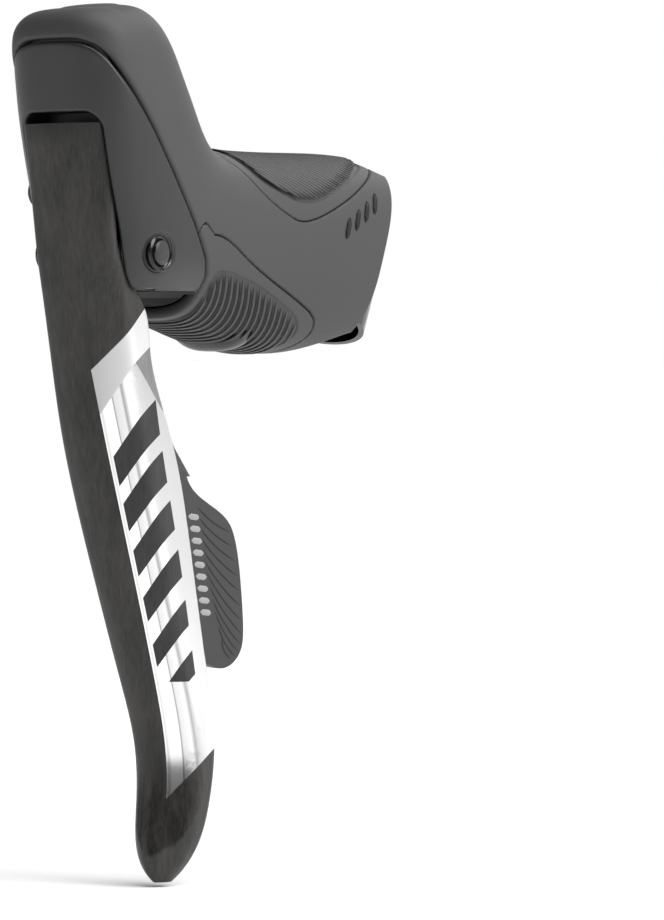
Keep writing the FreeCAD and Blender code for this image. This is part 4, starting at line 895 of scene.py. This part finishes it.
def on_grip(side_view):
    """Points and normals of the hood's outer side at (y, z) places seen from the side."""
    outer_side = hood_grid[:, :, 0] > OUTER_SIDE
    spots, facings = hood_grid[outer_side], hood_normals[outer_side]
    points, normals = [], []
    for y, z in side_view:
        gap = np.hypot(spots[:, 1] - y, spots[:, 2] - z)
        near = np.argsort(gap)[:NEAREST]
        weight = 1 / (gap[near] + 0.01)
        weight /= weight.sum()
        points.append((weight @ spots[near, 0], y, z))
        normal = weight @ facings[near]
        normals.append(normal / np.linalg.norm(normal))
    return np.array(points), np.array(normals)


def between(start, end, count=14):
    return np.linspace(start, end, count)


# Plain slanting ridges on the outer side, near the rear of the grip.
MARK_COUNT = 4
MARK_START = (66.8, 6.6)
MARK_STEP = (3.8, 1.9)
MARK_WIDTH, MARK_HEIGHT = 1.5, 0.10
mark_lines, mark_normals = [], []
for k in range(MARK_COUNT):
    y = MARK_START[0] + MARK_STEP[0] * k
    z = MARK_START[1] + MARK_STEP[1] * k
    line, facing = on_grip(between((y - 0.9, z - 2.3), (y + 1.1, z + 2.3)))
    mark_lines.append(line)
    mark_normals.append(facing)
add_ribs("grip_mark", mark_lines, mark_normals, MARK_WIDTH, MARK_HEIGHT, MARK, "body", "hood_rubber")


# ----------------------------------------------------------------------------------------------------
# Front shell: the bare moulding ahead of the hood, as a thin cover with rounded rims
# ----------------------------------------------------------------------------------------------------
FORK_HALF, FORK_TOP, FORK_CORNER = 10.4, 29.0, 4.0
SHELL_COVER, SHELL_WALL = 0.12, 1.4
PIN_RECESS = 3.9
FORK_RIM = 0.22
WING_SIDE = [
    (-60.0, -2.4), (-8.8, -2.4), (-8.4, -4.6), (-7.2, -6.3), (-5.4, -7.4), (-3.4, -7.8), (14.8, -7.8),
    (15.6, -9.2), (15.6, -60.0), (-60.0, -60.0),
]
BUTTON, BUTTON_HOLE = (-3.5, 13.0), 3.35
LIGHT_RISE, LIGHT_HOLE = 6.5, 1.0
FAR_AWAY = 50.0


def fork_distance(points):
    """Distance outside the fork's opening, seen from the front."""
    across = np.abs(points[:, 0]) - (FORK_HALF - FORK_CORNER)
    up = points[:, 2] - (FORK_TOP - FORK_CORNER)
    outside = np.hypot(np.maximum(across, 0), np.maximum(up, 0))
    return outside + np.minimum(np.maximum(across, up), 0) - FORK_CORNER + FORK_RIM


def shell_edge(points):
    """Distance from the nearest rim of the front shell."""
    x, y, z = points.T
    pin = np.hypot(y, z) - PIN_RECESS
    button = np.hypot(y - BUTTON[0], z - BUTTON[1]) - BUTTON_HOLE
    light = np.hypot(y - BUTTON[0], z - BUTTON[1] - LIGHT_RISE) - LIGHT_HOLE
    inner_holes = [np.where(x < 0, hole, FAR_AWAY) for hole in (button, light)]
    wing_foot = -polygon_distance(y, z, WING_SIDE)
    ahead_of_hood = -parting_distance(points)
    return np.minimum.reduce([ahead_of_hood, fork_distance(points), wing_foot, pin, *inner_holes])


SHELL_ROWS, SHELL_COLUMNS = 300, 250
SHELL_ROLL = 0.7
shell_grid = skin_grid(SHELL_ROWS, SHELL_COLUMNS, SHELL_COVER)
points = shell_grid.reshape(-1, 3)
faces = grid_faces(SHELL_ROWS, SHELL_COLUMNS)
points, faces = clip(points, faces, shell_edge(points))
points, faces = split_at_levels(points, faces, shell_edge, (0.12, 0.35, SHELL_ROLL))
normals = vertex_normals(points, faces)
sunk = rolled(shell_edge(points), SHELL_ROLL)
shell = make_piece("front_shell", *thickened(points, faces, normals, sunk, SHELL_WALL), [SHELL])
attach(shell, "body")

# A cap over each end of the pivot pin: a flush disc in a glossy ring.
CAP_PROFILE = [  # radius, place along the pin
    (0.01, 15.35), (1.5, 15.34), (2.35, 15.26), (2.58, 15.08), (2.66, 14.6), (2.85, 14.25), (3.3, 14.2),
    (3.6, 14.5), (3.68, 15.1), (3.69, 13.5), (0.01, 13.5),
]
CAP_STEPS = 72
DISC_ROWS = 3
turns = np.linspace(0, 2 * math.pi, CAP_STEPS, endpoint=False)
for word, hand in (("outer", 1), ("inner", -1)):
    cap_points = [(hand * x, r * math.cos(t), hand * r * math.sin(t)) for r, x in CAP_PROFILE for t in turns]
    count = len(cap_points)
    cap_faces = [tuple(reversed(face)) for face in grid_faces(len(CAP_PROFILE), CAP_STEPS)]
    cap_faces += [tuple(range(CAP_STEPS)), tuple(range(count - 1, count - 1 - CAP_STEPS, -1))]
    looks = [0] * (DISC_ROWS * CAP_STEPS) + [1] * (len(cap_faces) - DISC_ROWS * CAP_STEPS)
    looks[-2] = 0  # the disc's small middle face
    cap = make_piece(f"pivot_cap_{word}", cap_points, cap_faces, [SHELL, GLOSS], looks)
    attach(cap, "body")


# ----------------------------------------------------------------------------------------------------
# The paddle's lines and ridges
# ----------------------------------------------------------------------------------------------------
UP = np.array([0.0, 0.0, 1.0])
PLATE_TURN = math.radians(17.0)
PLATE_START = np.array([10.9, 16.0, 0.0])
PLATE_ALONG = np.array([math.sin(PLATE_TURN), math.cos(PLATE_TURN), 0.0])
PLATE_OUT = np.array([math.cos(PLATE_TURN), -math.sin(PLATE_TURN), 0.0])
GROOVE_COUNT = 12
GROOVE_SAG = 2.4
LINE_WIDTH, LINE_HEIGHT = 0.42, 0.06
TICK_COUNT = 9
TICK_SHIFT, TICK_PITCH = 0.4, 2.55
TICK_WIDTH, TICK_HEIGHT = 1.5, 0.05


def on_plate(spots):
    """Points and normals of the paddle's outer face at (along, z) places."""
    spots = np.asarray(spots, dtype=float)
    points = PLATE_START + PLATE_ALONG * spots[:, :1] + UP * spots[:, 1:]
    return points, np.tile(PLATE_OUT, (len(points), 1))


groove_at = np.arange(GROOVE_COUNT)
starts = curve_through([0, 6, 11], [(2.0, -53.5), (4.5, -67.5), (8.5, -81.9)], groove_at)
ends = curve_through([0, 4, 8, 11], [(10.5, -58.9), (13.1, -71.6), (13.5, -83.1), (10.9, -86.2)], groove_at)
groove_lines, groove_normals = [], []
for start, end in zip(starts, ends):
    share = np.linspace(0, 1, 20)[:, None]
    run = (end - start) / np.linalg.norm(end - start)
    sag = np.array([run[1], -run[0]]) * GROOVE_SAG
    line, facing = on_plate(start + (end - start) * share + sag * share * (1 - share))
    groove_lines.append(line)
    groove_normals.append(facing)
add_ribs("paddle_grooves", groove_lines, groove_normals, LINE_WIDTH, LINE_HEIGHT, GROOVE,
         "shift_paddle", "paddle_plastic")
tick_lines, tick_normals = [], []
for k in range(TICK_COUNT):
    along, drop = TICK_SHIFT * k, TICK_PITCH * k
    line, facing = on_plate(between((along - 0.4, -55.4 - drop), (along + 2.4, -55.8 - drop), 16))
    tick_lines.append(line)
    tick_normals.append(facing)
add_ribs("paddle_ticks", tick_lines, tick_normals, TICK_WIDTH, TICK_HEIGHT, TICK, "shift_paddle",
         "paddle_plastic")

# ----------------------------------------------------------------------------------------------------
# Floor, light and camera
# ----------------------------------------------------------------------------------------------------
CAMERA_AZIMUTH, CAMERA_ELEVATION = math.radians(33), math.radians(1.5)
RIGHT = np.array([math.cos(CAMERA_AZIMUTH), math.sin(CAMERA_AZIMUTH), 0.0])
AHEAD = np.array([-math.sin(CAMERA_AZIMUTH), math.cos(CAMERA_AZIMUTH), 0.0])
TARGET = PIVOT + RIGHT * 0.0479 - UP * 0.0433
DISTANCE = 0.9
FRAME_HEIGHT = 0.1932
SENSOR = 36.0

floor_look = Look("floor_paint", grey(0.9), 0.7, Specular_IOR_Level=0.2)
floor_tone = floor_look.noise(6, 3, 0.5)
floor_look.set("Base Color", floor_look.mixed(floor_tone, (0.88, 0.88, 0.88, 1), (0.92, 0.92, 0.92, 1)))
floor_mesh = bpy.data.meshes.new("floor")
FLOOR_HALF = 30.0
FLOOR_GAP = 0.001
low = cad_box[0][2] - FLOOR_GAP
corners = [(x * FLOOR_HALF, y * FLOOR_HALF, low) for x, y in ((-1, -1), (1, -1), (1, 1), (-1, 1))]
floor_mesh.from_pydata(corners, [], [(0, 1, 2, 3)])
floor_mesh.materials.append(floor_look.material)
floor = bpy.data.objects.new("floor", floor_mesh)
scene.collection.objects.link(floor)

# The studio is white behind the object, dimmer overhead and on the near side, with a panel to the left.
world = bpy.data.worlds.new("studio")
world.use_nodes = True
studio = world.node_tree


def studio_node(kind, inputs, **settings):
    """The world's node of a kind, with its inputs set or linked."""
    made = studio.nodes.new(kind)
    for key, value in settings.items():
        setattr(made, key, value)
    for key, value in inputs.items():
        if isinstance(value, bpy.types.NodeSocket):
            studio.links.new(value, made.inputs[key])
        else:
            made.inputs[key].default_value = value
    return made


def towards(way):
    """How far the view points along a way."""
    inputs = {0: direction, 1: tuple(way)}
    return studio_node("ShaderNodeVectorMath", inputs, operation="DOT_PRODUCT").outputs["Value"]


def studio_range(value, start, end, low, high):
    inputs = {"Value": value, "From Min": start, "From Max": end, "To Min": low, "To Max": high}
    return studio_node("ShaderNodeMapRange", inputs).outputs[0]


direction = studio.nodes.new("ShaderNodeTexCoord").outputs["Generated"]
height = studio_node("ShaderNodeSeparateXYZ", {0: direction}).outputs["Z"]
level = studio_range(height, 0.10, 0.50, 1.0, 0.42)
depth = studio_range(towards(AHEAD * 0.75 + RIGHT * 0.66), -0.60, 0.60, 0.16, 1.0)
panel = studio_range(towards(RIGHT * -0.914 - AHEAD * 0.408), 0.80, 0.95, 0.0, 0.9)
bright = studio_node("ShaderNodeMath", {0: depth, 1: panel}, operation="MAXIMUM").outputs[0]
strength = studio_node("ShaderNodeMath", {0: level, 1: bright}, operation="MULTIPLY").outputs[0]
backdrop = studio.nodes["Background"]
backdrop.inputs["Color"].default_value = (1.0, 1.0, 1.0, 1.0)
studio.links.new(strength, backdrop.inputs["Strength"])
scene.world = world
scene.view_settings.view_transform = "Standard"


def aimed(piece, start, end):
    """Puts a lamp or camera at start, facing end."""
    piece.location = Vector(start)
    piece.rotation_euler = (Vector(end) - Vector(start)).to_track_quat("-Z", "Y").to_euler()


def soft_light(name, right, ahead, up, width, height, watts):
    """An area light placed from the camera's own directions, in metres from the target."""
    light = bpy.data.lights.new(name, "AREA")
    light.shape = "RECTANGLE"
    light.size = width
    light.size_y = height
    light.energy = watts
    lamp = bpy.data.objects.new(name, light)
    scene.collection.objects.link(lamp)
    aimed(lamp, TARGET + RIGHT * right + AHEAD * ahead + UP * up, TARGET)


soft_light("key", 0.55, -0.20, 0.40, 0.35, 0.35, 3.4)
soft_light("rim", 0.30, 0.50, 0.45, 0.4, 0.3, 0.8)

sun = bpy.data.lights.new("sky_panel", "SUN")
sun.energy = 2.9
sun.angle = math.radians(60)
sky_panel = bpy.data.objects.new("sky_panel", sun)
scene.collection.objects.link(sky_panel)
aimed(sky_panel, RIGHT * 0.30 - AHEAD * 0.15 + UP, (0.0, 0.0, 0.0))

camera_data = bpy.data.cameras.new("camera")
camera_data.sensor_width = SENSOR
camera_data.lens = SENSOR * DISTANCE / FRAME_HEIGHT
camera = bpy.data.objects.new("camera", camera_data)
scene.collection.objects.link(camera)
view_from = -AHEAD * math.cos(CAMERA_ELEVATION) + UP * math.sin(CAMERA_ELEVATION)
aimed(camera, TARGET + view_from * DISTANCE, TARGET)
scene.camera = camera
